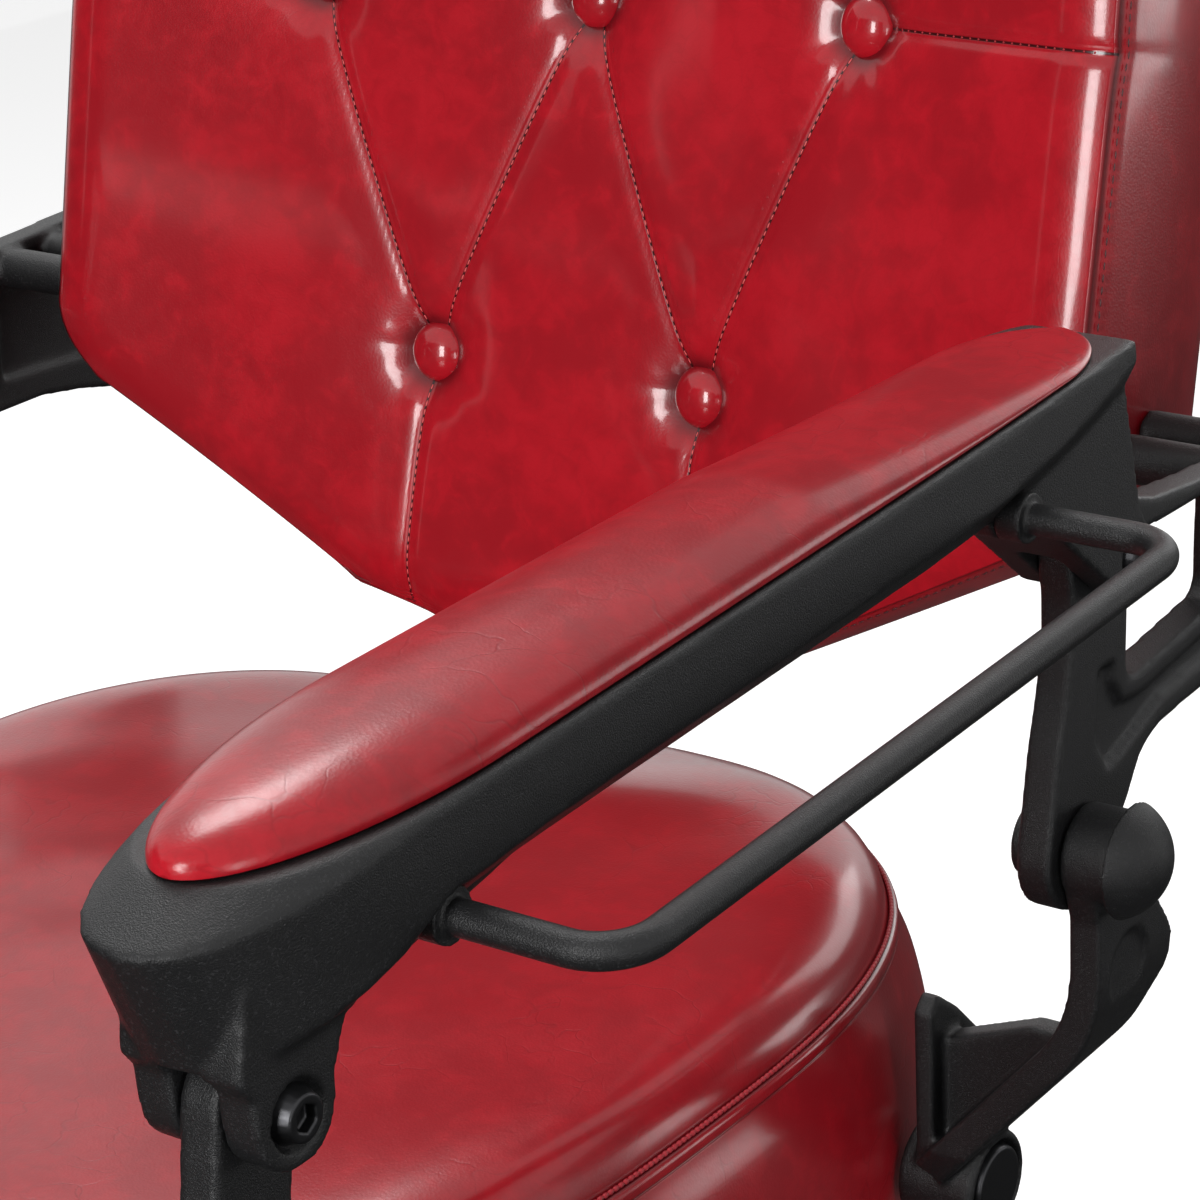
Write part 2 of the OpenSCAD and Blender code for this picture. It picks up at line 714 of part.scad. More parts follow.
module casting_outline() {
  polygon(concat(
    arc(crank_y, crank_z, eye_r, 40, 190),
    [[crank_y - 18, crank_z - 14], [-4, 77], [-8, 58], [-14, 38]],
    arc(0, 0, casting_boss_r, 165, 320),
    [[34, 5]],
    arc(64, -9, 34, 128, 92, 5),
    [[112, 28], [140, 28], [165, 24], [190, 18]],
    arc(200, 30, 16, -80, 20, 6),
    [[206, 88]],
    arc(192, 92, 14, 0, 90, 6),
    [[158, 104], [122, 102], [86, 105], [54, 109]]
  ));
}

module casting_window() {
  translate([41, 57]) circle(8);
  translate([43, 92]) circle(8);
  translate([100, 92]) circle(6);
  translate([97, 63]) circle(8);
  polygon([[33, 57], [35, 92], [43, 100], [100, 98], [106, 92], [105, 63], [97, 55], [41, 49]]);
}

pad_bolts = [[128, 92], [156, 92]];
pad_boss_r = 9;
// Where a casting boss meets the side of the backrest
function pad_boss_end(b) =
  let (y = recline_y + b[0] - back_y, z = recline_h + b[1] - back_h,
       depth = y * cos(back_tilt) - z * sin(back_tilt), v = y * sin(back_tilt) + z * cos(back_tilt))
  back_side_x(depth - pad_boss_r, min(v + pad_boss_r, -120)) + gap;

casting_pocket = 3;
// Shallow pockets: along the lower branch outside, over the rear plate inside
module outer_pocket() {
  polygon([[13, 60], [12, 34], [20, 22], [28, 24], [60, 34], [110, 37], [170, 34], [178, 42],
           [140, 48], [100, 47], [44, 41], [30, 43], [24, 52], [24, 60]]);
}
module inner_pocket() {
  polygon([[116, 42], [172, 39], [186, 46], [186, 60], [176, 84], [150, 96], [118, 94]]);
}

module back_casting(side) {
  color("#1b1b1c") on_side(side) translate([0, recline_y, recline_h]) difference() {
    union() {
      difference() {
        plate_x(bar_lo, bar_hi) difference() {
          casting_outline();
          casting_window();
        }
        plate_x(bar_hi - casting_pocket, bar_hi + 1) outer_pocket();
        plate_x(bar_lo - 1, bar_lo + casting_pocket) inner_pocket();
      }
      for (b = pad_bolts) cyl_x(pad_boss_r, pad_boss_end(b), bar_lo + bar_t / 2, b[0], b[1]);
    }
    cyl_x(recline_pin_r + pin_gap, bar_lo - 1, bar_hi + 1, 0, 0);
    cyl_x(arm_pin_r + pin_gap, bar_lo - 1, bar_hi + 1, crank_y, crank_z);
    for (b = pad_bolts) cyl_x(arm_pin_r, back_half_w, bar_hi + 1, b[0], b[1]);
  }
}
module back_casting_left() { back_casting(1); }
module back_casting_right() { back_casting(-1); }

// Columns and rows of the back's skin pass through the buttons
side_steps = 5;
back_cols = concat(
  [for (i = [0:side_steps - 1]) -1 + i * (1 - button_pitch / back_half_w) / side_steps],
  [for (i = [-6:6]) i / 6 * button_pitch / back_half_w],
  [for (i = [1:side_steps]) button_pitch / back_half_w + i * (1 - button_pitch / back_half_w) / side_steps]
);
back_rows = concat(
  [for (f = [1, 0.97, 0.9, 0.8, 0.7, 0.63]) -back_drop * f],
  [for (i = [-7:7]) i * button_row / 7],
  [back_top - 85, back_top - 60, back_top - 42, back_top - 24, back_top - 11, back_top - 3, back_top]
);
edge_round = 9;
// The rear face draws forward below this height
taper_v = -180;
function back_rear(v) = back_pad_t - 48 * pow(max(0, taper_v - v) / (back_drop + taper_v), 1.4);
function edge_fall(x, v) =
  let (s = min(back_side(v) - abs(x), v + back_drop, back_top - v)) edge_round * dent(s, 16);
function back_front(x, v) = -back_wrap_at(x) + tuft([x, v]) + edge_fall(x, v);

side_crown = 4;
function back_mid_y(v) = 0.6 * back_front(back_side(v), v) + 0.4 * back_rear(v);
// Side of the backrest at a depth y behind its front plane
function back_side_x(y, v) =
  back_side(v) + side_crown - (side_crown + 5) * (y - back_mid_y(v)) / (back_rear(v) - back_mid_y(v));

module back_cushion() {
  nc = len(back_cols);
  nr = len(back_rows);
  last = nc - 1;
  front = [for (v = back_rows) each [for (u = back_cols) let (x = u * back_side(v)) [x, back_front(x, v), v]]];
  mids = [for (v = back_rows) each [for (s = [-1, 1])
    [s * (back_side(v) + side_crown), back_mid_y(v), v]]];
  rears = [for (v = back_rows) each [for (s = [-1, 1]) [s * (back_side(v) - 5), back_rear(v), v]]];
  m = nc * nr;
  r = m + 2 * nr;
  color("#a01823") in_back() polyhedron(concat(front, mids, rears), concat(
    [for (j = [0:nr - 2], i = [0:last - 1]) each let (a = j * nc + i)
      [[a, a + nc, a + 1], [a + 1, a + nc, a + nc + 1]]],
    [for (j = [0:nr - 2]) each let (a = j * nc, b = m + 2 * j, c = r + 2 * j) [
      [a, b, a + nc], [b, b + 2, a + nc], [b, c, b + 2], [c, c + 2, b + 2],
      [a + last, a + nc + last, b + 1], [b + 1, a + nc + last, b + 3],
      [b + 1, b + 3, c + 1], [c + 1, b + 3, c + 3],
      [c, c + 1, c + 2], [c + 1, c + 3, c + 2]
    ]],
    [for (i = [0:last - 1]) i < last / 2 ? [i, i + 1, m] : [i, i + 1, m + 1]],
    [[m, floor(last / 2), m + 1]],
    [[m, m + 1, r], [m + 1, r + 1, r]],
    [for (i = [0:last - 1]) let (a = nc * (nr - 1) + i)
      i < last / 2 ? [a, m + 2 * nr - 2, a + 1] : [a, m + 2 * nr - 1, a + 1]],
    [[m + 2 * nr - 2, m + 2 * nr - 1, nc * (nr - 1) + floor(last / 2)]],
    [[m + 2 * nr - 2, r + 2 * nr - 2, m + 2 * nr - 1], [r + 2 * nr - 2, r + 2 * nr - 1, m + 2 * nr - 1]]
  ));
}

button_h = 13;
button_cone = 7.5;
button_lift = 0.8;

module back_buttons() {
  color("#a01823") in_back() for (b = buttons)
    translate([b[0], -back_wrap_at(b[0]) + pit_depth + pleat_depth - button_lift, b[1]])
      rotate([90, 0, -atan(2 * back_wrap * b[0] / (back_half_w * back_half_w))]) rotate_extrude() difference() {
        intersection() {
          translate([0, button_h - button_r - 3]) circle(button_r + 3);
          square([button_r, button_h]);
        }
        polygon([[0, 0], [button_r + 1, 0], [button_r + 1, button_cone]]);
      }
}

module rounded_panel(half_w, low, high, r) {
  for (x = [-1, 1], v = [low + r, high - r]) translate([x * (half_w - r), v]) circle(r);
  translate([-half_w + r, low]) square([2 * half_w - 2 * r, high - low]);
  translate([-half_w, low + r]) square([2 * half_w, high - low - 2 * r]);
}

module back_board() {
  color("#b08d5e") in_back() plate_y(back_pad_t, back_pad_t + back_board_t)
    rounded_panel(back_half_w - 22, -108, back_top - 16, 40);
}

module back_panel() {
  color("#8d1620") in_back() {
    plate_y(back_pad_t + back_board_t, panel_face - 5) rounded_panel(back_half_w - 12, -118, back_top - 8, 44);
    plate_y(panel_face - 5, panel_face) rounded_panel(back_half_w - 18, -112, back_top - 14, 40);
  }
}

module back_bolts() {
  color("#2a2a2c") for (side = [-1, 1], b = pad_bolts)
    on_side(side) bolt_x(pad_boss_end(b) + 4, bar_hi, recline_y + b[0], recline_h + b[1], arm_pin_r);
}

module headrest_socket() {
  color("#1b1b1c") in_back() difference() {
    translate([-socket_w / 2, panel_face, back_top - 24 - socket_h]) cube([socket_w, socket_t, socket_h]);
    translate([-head_bar_w / 2 - gap, bar_y - head_bar_t / 2 - gap, back_top - 30 - socket_h])
      cube([head_bar_w + 2 * gap, head_bar_t + 2 * gap, socket_h + 12]);
  }
}

module headrest_bar() {
  color("#d5d6d8") in_back() {
    translate([-head_bar_w / 2, bar_y - head_bar_t / 2, bar_low]) cube([head_bar_w, head_bar_t, bar_top - bar_low]);
    for (s = [-1, 1]) difference() {
      plate_x(s * 14 - 3, s * 14 + 3) union() {
        translate([head_axis_y, head_mid]) circle(head_lug);
        translate([head_axis_y, head_mid - head_lug]) square([bar_y + head_bar_t / 2 - head_axis_y, 2 * head_lug]);
        translate([bar_y - head_bar_t / 2, bar_top - 20]) square([head_bar_t, 40]);
      }
      cyl_x(head_pin_r, s * 14 - 5, s * 14 + 5, head_axis_y, head_mid);
    }
  }
}

module headrest_pin() {
  color("#8f9092") in_back() {
    cyl_x(head_pin_r, -19, 19, head_axis_y, head_mid);
    cyl_x(head_pin_r + 3, 17, 21, head_axis_y, head_mid);
    cyl_x(head_pin_r + 3, -21, -17, head_axis_y, head_mid);
  }
}

module headrest_bracket() {
  color("#2a2a2c") in_back() difference() {
    union() {
      plate_x(-10, 10) union() {
        translate([head_axis_y, head_mid]) circle(head_lug - 1);
        translate([head_axis_y - 18, head_mid - 8]) square([18, 16]);
      }
      plate_y(head_axis_y - 18, head_axis_y - 12.5) rounded_panel(70, head_mid - 40, head_mid + 40, 10);
    }
    cyl_x(head_pin_r + pin_gap, -12, 12, head_axis_y, head_mid);
  }
}

// Pillow block: crowned front, drawn-in sides, flat rear on its bracket
function pillow_ring(hw, hh, n, y, mid) =
  [for (i = [0:31]) let (p = super_pt(hw, hh, n, -360 * i / 32)) [p[0], y, mid + p[1]]];

module pillow(hw, hh, t, y0, mid) {
  ring_loft([
    pillow_ring(hw - 12, hh - 12, 4.5, y0, mid), pillow_ring(hw - 3, hh - 3, 4.5, y0 - 0.08 * t, mid),
    pillow_ring(hw, hh, 4.5, y0 - 0.3 * t, mid), pillow_ring(hw - 1, hh - 1, 4.5, y0 - 0.52 * t, mid),
    pillow_ring(hw - 3.5, hh - 3.5, 4.5, y0 - 0.6 * t, mid), pillow_ring(hw - 4, hh - 4, 4.3, y0 - 0.7 * t, mid),
    pillow_ring(hw - 14, hh - 12, 4, y0 - 0.83 * t, mid), pillow_ring(hw - 34, hh - 26, 3.6, y0 - 0.93 * t, mid),
    pillow_ring(0.5 * hw, 0.5 * hh, 3, y0 - 0.985 * t, mid)
  ], [0, y0, mid], [0, y0 - t, mid]);
}

module headrest_cushion() {
  color("#a01823") in_back() pillow(head_half_w, head_h / 2, head_t, head_axis_y - 18, head_mid + 6);
}

// ---- Armrests ----

front_pin = [-arm_pin_span, arm_pin_rise];
nose_y = front_pin[0] - nose_reach;
slot_half = bar_t / 2 + side_gap;
rear_edge = -9;

// The casting narrows to the rear and its nose leans inboard
nose_l = 84;
nose_root = nose_y + nose_l;
nose_lean = 3;
function part_of(v, from, to) = max(0, min(1, (v - from) / (to - from)));
function arm_mid(y) = -nose_lean * part_of(y, -100, nose_root);
function arm_half(y) = arm_rear_w + (arm_half_w - arm_rear_w) * pow(part_of(y, -6, nose_root), 0.6);

// Stations round the casting seen from above: inboard side, nose, outboard side
side_ys = [-6, -14, -26, -42, -66, -98, -130, -165, -205, -250, -295, -335, -362];
side_count = len(side_ys);
nose_steps = 16;
arm_stations = concat(
  [for (y = side_ys) [-1, y, 0]],
  [for (i = [0:nose_steps]) let (t = 180 + 180 * i / nose_steps) [cos(t), nose_root, -sin(t)]],
  [for (i = [side_count - 1:-1:0]) [1, side_ys[i], 0]]
);

// Ring of the casting, drawn in by inset, with its nose drawn back and the rear inboard corner rounded
function arm_ring(inset, nose_back, corner, heights) =
  [for (i = [0:len(arm_stations) - 1])
    let (s = arm_stations[i], y = s[1], half = arm_half(y) - inset,
         round = s[0] < 0 ? sqrt(1 - pow(part_of(y, -45, -5) * corner, 2)) : 1)
    [arm_mid(y) + half * round * sign(s[0]) * pow(abs(s[0]), 0.87),
     y - (nose_l - nose_back) * pow(s[2], 0.87), heights(y, s[2])]];

// Crease between the top facet and the band, lower edge of the band, and the line where it meets the keel
crease = function (y, nose) band_top - 0.6 - (nose_drop - 0.6) * pow(nose, 0.9);
band_edge = function (y, nose)
  let (front = part_of(y, -330, nose_root), rear = part_of(y, -130, -9))
  band_low - 2 * front - (band_low - 32) * pow(nose, 0.7) + 16 * rear * rear;
keel_line = function (y, nose) band_edge(y, nose) - 12 + 7 * nose;

module arm_shell() {
  ring_loft([
    [for (i = [0:len(arm_stations) - 1]) let (s = arm_stations[i], y = s[1])
      [(keel_half_w - 1) * s[0], y - (nose_l - 26) * s[2], keel_line(y, s[2])]],
    arm_ring(0, 14, 0, band_edge),
    arm_ring(0.6, 0.8, 0.8, crease),
    arm_ring(pad_rim, 22, 0.86, function (y, nose) band_top)
  ], [0, (nose_root + rear_edge) / 2, band_low - 10], [0, (nose_root + rear_edge) / 2, band_top]);
}

module arm_side() {
  y = front_pin[0];
  top = band_top - 4;
  polygon(concat(
    [[rear_edge + 1, top], [y + 5, top], [y - 14, top - 20], [y - 19, 30], [y - 15, 25]],
    arc(y, arm_pin_rise, front_ear_r, 180, 360),
    [[y + 15.5, arm_pin_rise + 6], [y + 21, 31], [y + 41, 37], [y + 64, 41.5], [y + 118, 46],
     [-200, 47], [-76, 47]],
    arc(0, 0, rear_ear_r, 222, 352),
    [[rear_edge + 12, 16]]
  ));
}

module armrest(side) {
  y = front_pin[0];
  color("#1b1b1c") on_side(side) in_arm() difference() {
    union() {
      plate_x(-keel_half_w, keel_half_w) arm_side();
      arm_shell();
      if (side > 0) for (p = rod_feet) cyl_x(rod_r + 3, 2, keel_half_w, p, rod_z);
    }
    // Clevis slots for the post and for the back casting
    translate([-slot_half, y - 60, -60]) cube([2 * slot_half, 86, 60 + arm_pin_rise + post_w / 2 + 2]);
    plate_x(-slot_half, slot_half) union() {
      circle(eye_r + 2);
      translate([-84, -60]) square([124, 68]);
      translate([-2, -60]) square([42, 60 + eye_r + 2]);
    }
    cyl_x(arm_pin_r, -60, 60, y, arm_pin_rise);
    cyl_x(arm_pin_r, -60, 60, 0, 0);
    cyl_x(bolt_head_r + 1.2, keel_half_w - 3, 60, y, arm_pin_rise);
    cyl_x(bolt_head_r + 1.2, keel_half_w - 3, 60, 0, 0);
    if (side > 0) for (p = rod_feet) {
      cyl_x(rod_r, keel_half_w - 8, 40, p, rod_z);
      cyl_x(rod_r + 3, keel_half_w, 40, p, rod_z);
    }
  }
}
module armrest_left() { armrest(1); }
module armrest_right() { armrest(-1); }

pad_front = nose_y + 22;
pad_rear = -10;
pad_nose_l = 95;
pad_tail_l = 42;
pad_steps = 30;
// Half width and height of the pad along the armrest
function pad_half(y) =
  let (nose = 1 - part_of(y, pad_front, pad_front + pad_nose_l), tail = part_of(y, pad_rear - pad_tail_l, pad_rear))
  (arm_half(y) - pad_rim) * sqrt(1 - nose * nose) * sqrt(1 - tail * tail);
function pad_rise(y) =
  pad_h * pow(pad_half(y) / (arm_half_w - pad_rim), 0.7) * (1 - 0.92 * pow(part_of(y, -190, pad_rear), 0.9));

// Section across the pad: a low dome on a flat base
function pad_section(y, low) =
  let (w = max(1, pad_half(y)), h = max(0.8, pad_rise(y)), mid = arm_mid(y))
  concat(
    [for (t = [0:15:180]) [mid + w * sign(cos(t)) * pow(abs(cos(t)), 0.86), y, low + 0.5 + h * pow(sin(t), 0.92)]],
    [[mid - w + 0.6, y, low], [mid, y, low], [mid + w - 0.6, y, low]]
  );

module armrest_pad(side) {
  low = band_top + gap;
  ys = [for (i = [0:pad_steps]) pad_rear - 0.3 + (pad_front - pad_rear + 0.6) * (0.5 - 0.5 * cos(180 * i / pad_steps))];
  color("#a01823") on_side(side) in_arm()
    ring_loft([for (y = ys) pad_section(y, low)], [0, pad_rear, low + 0.5], [-nose_lean, pad_front, low + 0.5]);
}
module armrest_pad_left() { armrest_pad(1); }
module armrest_pad_right() { armrest_pad(-1); }

module arm_bolts(side) {
  color("#2a2a2c") on_side(side) in_arm() for (p = [front_pin, [0, 0]])
    bolt_x(-keel_half_w + 2, keel_half_w - 3, p[0], p[1], arm_pin_r);
}
module arm_bolts_left() { arm_bolts(1); }
module arm_bolts_right() { arm_bolts(-1); }

// Towel rod: two feet in the keel joined by a straight run, bent in one plane
rod_front = front_pin[0] + 54;
rod_rear = -84;
rod_feet = [rod_front, rod_rear];
rod_bend = 16;
module towel_bar() {
  foot = keel_half_w - 8;
  color("#1b1b1c") in_arm() translate([0, 0, rod_z]) {
    for (p = rod_feet) {
      translate([foot, p, 0]) rotate([0, 90, 0]) cylinder(r = rod_r, h = rod_out - rod_bend - foot);
      translate([keel_half_w, p, 0]) rotate([0, 90, 0]) cylinder(r = rod_r + 3, h = 9);
    }
    translate([rod_out, rod_front + rod_bend, 0]) rotate([-90, 0, 0])
      cylinder(r = rod_r, h = rod_rear - rod_front - 2 * rod_bend);
    translate([rod_out - rod_bend, rod_front + rod_bend, 0]) rotate([0, 0, -90])
      rotate_extrude(angle = 90) translate([rod_bend, 0]) circle(rod_r);
    translate([rod_out - rod_bend, rod_rear - rod_bend, 0])
      rotate_extrude(angle = 90) translate([rod_bend, 0]) circle(rod_r);
  }
}

// ---- Legrest ----

module front_post(side) {
  color("#1b1b1c") on_side(side) in_post() difference() {
    plate_x(bar_lo, bar_hi) union() {
      translate([0, crank_l]) circle(post_w / 2);
      translate([-post_w / 2, -post_drop]) square([post_w, post_drop + crank_l]);
      circle(hub_r);
      translate([0, -post_drop]) circle(post_w / 2);
    }
    cyl_x(arm_pin_r + open_pin_gap, bar_lo - 1, bar_hi + 1, 0, crank_l);
    cyl_x(legrest_pin_r + pin_gap, bar_lo - 1, bar_hi + 1, 0, 0);
    for (s = [tube_up, foot_drop]) cyl_x(tube_r - 3, bar_lo - 1, bar_hi + 1, 0, -s);
  }
}
module front_post_left() { front_post(1); }
module front_post_right() { front_post(-1); }

module legrest_tubes() {
  color("#1b1b1c") in_post() for (s = [tube_up, foot_drop]) {
    cyl_x(tube_r, -bar_lo, bar_lo, 0, -s);
    cyl_x(tube_r - 3, -bar_hi, bar_hi, 0, -s);
  }
}

module calf_board() {
  color("#b08d5e") in_post() plate_y(-tube_r - calf_board_t, -tube_r)
    rounded_panel(calf_half_w - 12, -calf_top - calf_h + 10, -calf_top - 10, 14);
}

module calf_pad() {
  color("#a01823") in_post() pillow(calf_half_w, calf_h / 2, calf_t, -tube_r - calf_board_t, -calf_top - calf_h / 2);
}

module in_foot() {
  in_post() translate([0, 0, -foot_drop]) rotate([crank_lean - foot_tip, 0, 0]) children();
}

module foot_hinge() {
  color("#1b1b1c") in_foot() for (s = [-1, 1]) difference() {
    plate_x(s * 120 - hinge_lug_w, s * 120 + hinge_lug_w) union() {
      circle(tube_r + 7);
      translate([-60, -tube_r - 7]) square([60, 12]);
    }
    cyl_x(tube_r + pin_gap, -200, 200, 0, 0);
  }
}

module foot_plate() {
  low = -tube_r - 7 + 12;
  color("#1b1b1c") in_foot() difference() {
    translate([0, 0, low]) linear_extrude(foot_t) translate([0, -24 - foot_d / 2])
      polygon([for (t = [0:6:354]) super_pt(foot_half_w, foot_d / 2, 5, t)]);
    for (s = [-1, 1]) cyl_x(tube_r + 7 + gap, s * 120 - hinge_lug_w - 2, s * 120 + hinge_lug_w + 2, 0, 0);
  }
}

module foot_tread() {
  low = -tube_r - 7 + 12 + foot_t;
  color("#111111") in_foot() for (i = [0:5])
    translate([-foot_half_w + 24, -24 - foot_d + 18 + 23 * i, low]) cube([2 * foot_half_w - 48, 12, tread_t]);
}

base_disc();
base_ring();
pump_housing();
pump_cover();
pump_collar();
ram_seal();
pedal_clevis();
pedal_pin();
pedal_arm();
pedal_pad();
lift_ram();
thrust_ring();
swivel_head();
head_bolts();
seat_plate();
seat_board();
seat_cushion();
rear_bracket_left();
rear_bracket_right();
front_bracket_left();
front_bracket_right();
recline_pin_left();
recline_pin_right();
legrest_pin_left();
legrest_pin_right();
bracket_bolts();
lock_cylinder();
recline_lever();
lever_knob();
back_casting_left();
back_casting_right();
back_cushion();
back_buttons();
back_board();
back_panel();
back_bolts();
headrest_socket();
headrest_bar();
headrest_pin();
headrest_bracket();
headrest_cushion();
armrest_left();
armrest_right();
armrest_pad_left();
armrest_pad_right();
arm_bolts_left();
arm_bolts_right();
towel_bar();
front_post_left();
front_post_right();
legrest_tubes();
calf_board();
calf_pad();
foot_hinge();
foot_plate();
foot_tread();
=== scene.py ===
import math
import bpy
import bmesh
import numpy as np
from mathutils import Matrix, Vector


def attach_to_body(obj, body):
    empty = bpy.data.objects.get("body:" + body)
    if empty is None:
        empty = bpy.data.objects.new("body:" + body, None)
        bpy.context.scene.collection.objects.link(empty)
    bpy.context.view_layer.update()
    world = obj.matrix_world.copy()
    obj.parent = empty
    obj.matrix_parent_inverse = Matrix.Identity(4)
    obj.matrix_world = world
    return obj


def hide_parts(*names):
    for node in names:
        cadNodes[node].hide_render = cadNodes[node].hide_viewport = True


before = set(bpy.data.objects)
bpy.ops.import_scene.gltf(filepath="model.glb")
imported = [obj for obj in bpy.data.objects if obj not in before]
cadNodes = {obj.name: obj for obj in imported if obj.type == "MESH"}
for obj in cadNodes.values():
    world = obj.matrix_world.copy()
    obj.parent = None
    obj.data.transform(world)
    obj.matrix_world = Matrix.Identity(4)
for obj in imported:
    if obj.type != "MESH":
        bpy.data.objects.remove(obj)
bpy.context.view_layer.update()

mm = 0.001
bpy.context.scene.view_settings.view_transform = "Standard"

# Camera

cameraSet = {
    "place": (0.8595, -0.898, 1.1278),
    "azimuth": 36.7,
    "elevation": 21.16,
    "roll": -2.95,
    "focalPixels": 3690,
    "framePixels": 1200,
    "sensor": 36,
}


def link(obj):
    bpy.context.scene.collection.objects.link(obj)
    return obj


def makeCamera():
    az, el, roll = (math.radians(cameraSet[k]) for k in ("azimuth", "elevation", "roll"))
    ahead = Vector((-math.sin(az) * math.cos(el), math.cos(az) * math.cos(el), -math.sin(el)))
    side = Vector((math.cos(az), math.sin(az), 0))
    up = side.cross(ahead)
    right = side * math.cos(roll) + up * math.sin(roll)
    top = up * math.cos(roll) - side * math.sin(roll)
    data = bpy.data.cameras.new("chairCamera")
    data.sensor_width = cameraSet["sensor"]
    data.lens = cameraSet["focalPixels"] / cameraSet["framePixels"] * cameraSet["sensor"]
    data.clip_start = 0.05
    camera = link(bpy.data.objects.new("chairCamera", data))
    turn = Matrix((right, top, -ahead)).transposed().to_4x4()
    camera.matrix_world = Matrix.Translation(cameraSet["place"]) @ turn
    bpy.context.scene.camera = camera


# Node helpers

# A socket that takes part in sums, each of which adds its Math node
class Wire:
    def __init__(self, sheet, socket):
        self.sheet, self.socket = sheet, socket

    def math(self, operation, *values):
        return self.sheet.node("ShaderNodeMath", {"operation": operation}, dict(enumerate(values)))

    def __add__(self, other): return self.math("ADD", self, other)
    def __radd__(self, other): return self.math("ADD", other, self)
    def __sub__(self, other): return self.math("SUBTRACT", self, other)
    def __rsub__(self, other): return self.math("SUBTRACT", other, self)
    def __mul__(self, other): return self.math("MULTIPLY", self, other)
    def __rmul__(self, other): return self.math("MULTIPLY", other, self)
    def __abs__(self): return self.math("ABSOLUTE", self)
    def larger(self, other): return self.math("MAXIMUM", self, other)


# A node tree, with one method that adds any node
class Sheet:
    def __init__(self, tree):
        self.tree = tree

    def node(self, kind, settings=None, sockets=None, out=0):
        made = self.tree.nodes.new(kind)
        for key, value in (settings or {}).items():
            setattr(made, key, value)
        for key, value in (sockets or {}).items():
            self.plug(made.inputs[key], value)
        return Wire(self, made.outputs[out])

    def plug(self, socket, value):
        if isinstance(value, Wire):
            self.tree.links.new(value.socket, socket)
        else:
            socket.default_value = value


# One material
class Finish(Sheet):
    def __init__(self, name):
        self.material = bpy.data.materials.new(name)
        self.material.use_nodes = True
        super().__init__(self.material.node_tree)
        self.shader = self.tree.nodes["Principled BSDF"]

    def set(self, **sockets):
        for key, value in sockets.items():
            self.plug(self.shader.inputs[key.replace("_", " ")], value)

    def place(self):
        return self.node("ShaderNodeTexCoord", out="Object")

    def stretched(self, place, scale):
        return self.node("ShaderNodeMapping", {}, {"Vector": place, "Scale": scale})

    def attribute(self, name):
        return self.node("ShaderNodeAttribute", {"attribute_name": name}, out="Fac")

    def noise(self, place, scale, detail=2, rough=0.5, distortion=0, out=0):
        sockets = {"Vector": place, "Scale": scale, "Detail": detail, "Roughness": rough, "Distortion": distortion}
        return self.node("ShaderNodeTexNoise", {}, sockets, out)

    def cells(self, place, scale, feature="F1", out="Distance"):
        return self.node("ShaderNodeTexVoronoi", {"feature": feature}, {"Vector": place, "Scale": scale}, out)

    # 0 to 1 with soft ends while the value goes from one limit to the other
    def between(self, value, low, high):
        settings = {"interpolation_type": "SMOOTHSTEP"}
        return self.node("ShaderNodeMapRange", settings, {"Value": value, "From Min": low, "From Max": high})

    def mix(self, factor, first, second):
        first, second = (side if isinstance(side, Wire) else (*side, 1) for side in (first, second))
        return self.node("ShaderNodeMix", {"data_type": "RGBA"}, {0: factor, 6: first, 7: second}, 2)

    def bump(self, height, distance, strength):
        return self.node("ShaderNodeBump", {}, {"Height": height, "Distance": distance, "Strength": strength})


# Finishes

leatherSet = {
    "deep": (0.215, 0.0045, 0.0095),
    "middle": (0.365, 0.0052, 0.0125),
    "bright": (0.470, 0.0070, 0.0170),
    # Colour of painted shade: in the creases, in seam grooves, along the back's rim and round the buttons
    "paintedShade": (0.060, 0.002, 0.004),
    # Colour of painted shade in the pleats' clefts
    "shadedCleft": (0.012, 0.0015, 0.002),
    # Scales of the patterns
    "cloud": 17,
    "mottle": 75,
    "dust": 320,
    "grain": 950,
    "crease": 46,
    "stray": 24,
    "strayShare": 0.06,  # how far the creases wander from straight cell edges
    "creaseWidth": 0.035,
    "depth": 0.00022,
    # Pleats, in mm from their line: half width of the cleft darkened with painted shade, place and half width of the
    # lip above it
    "cleftHalf": 0.8,
    "lipPlace": 1.5,
    "lipHalf": 1.1,
}
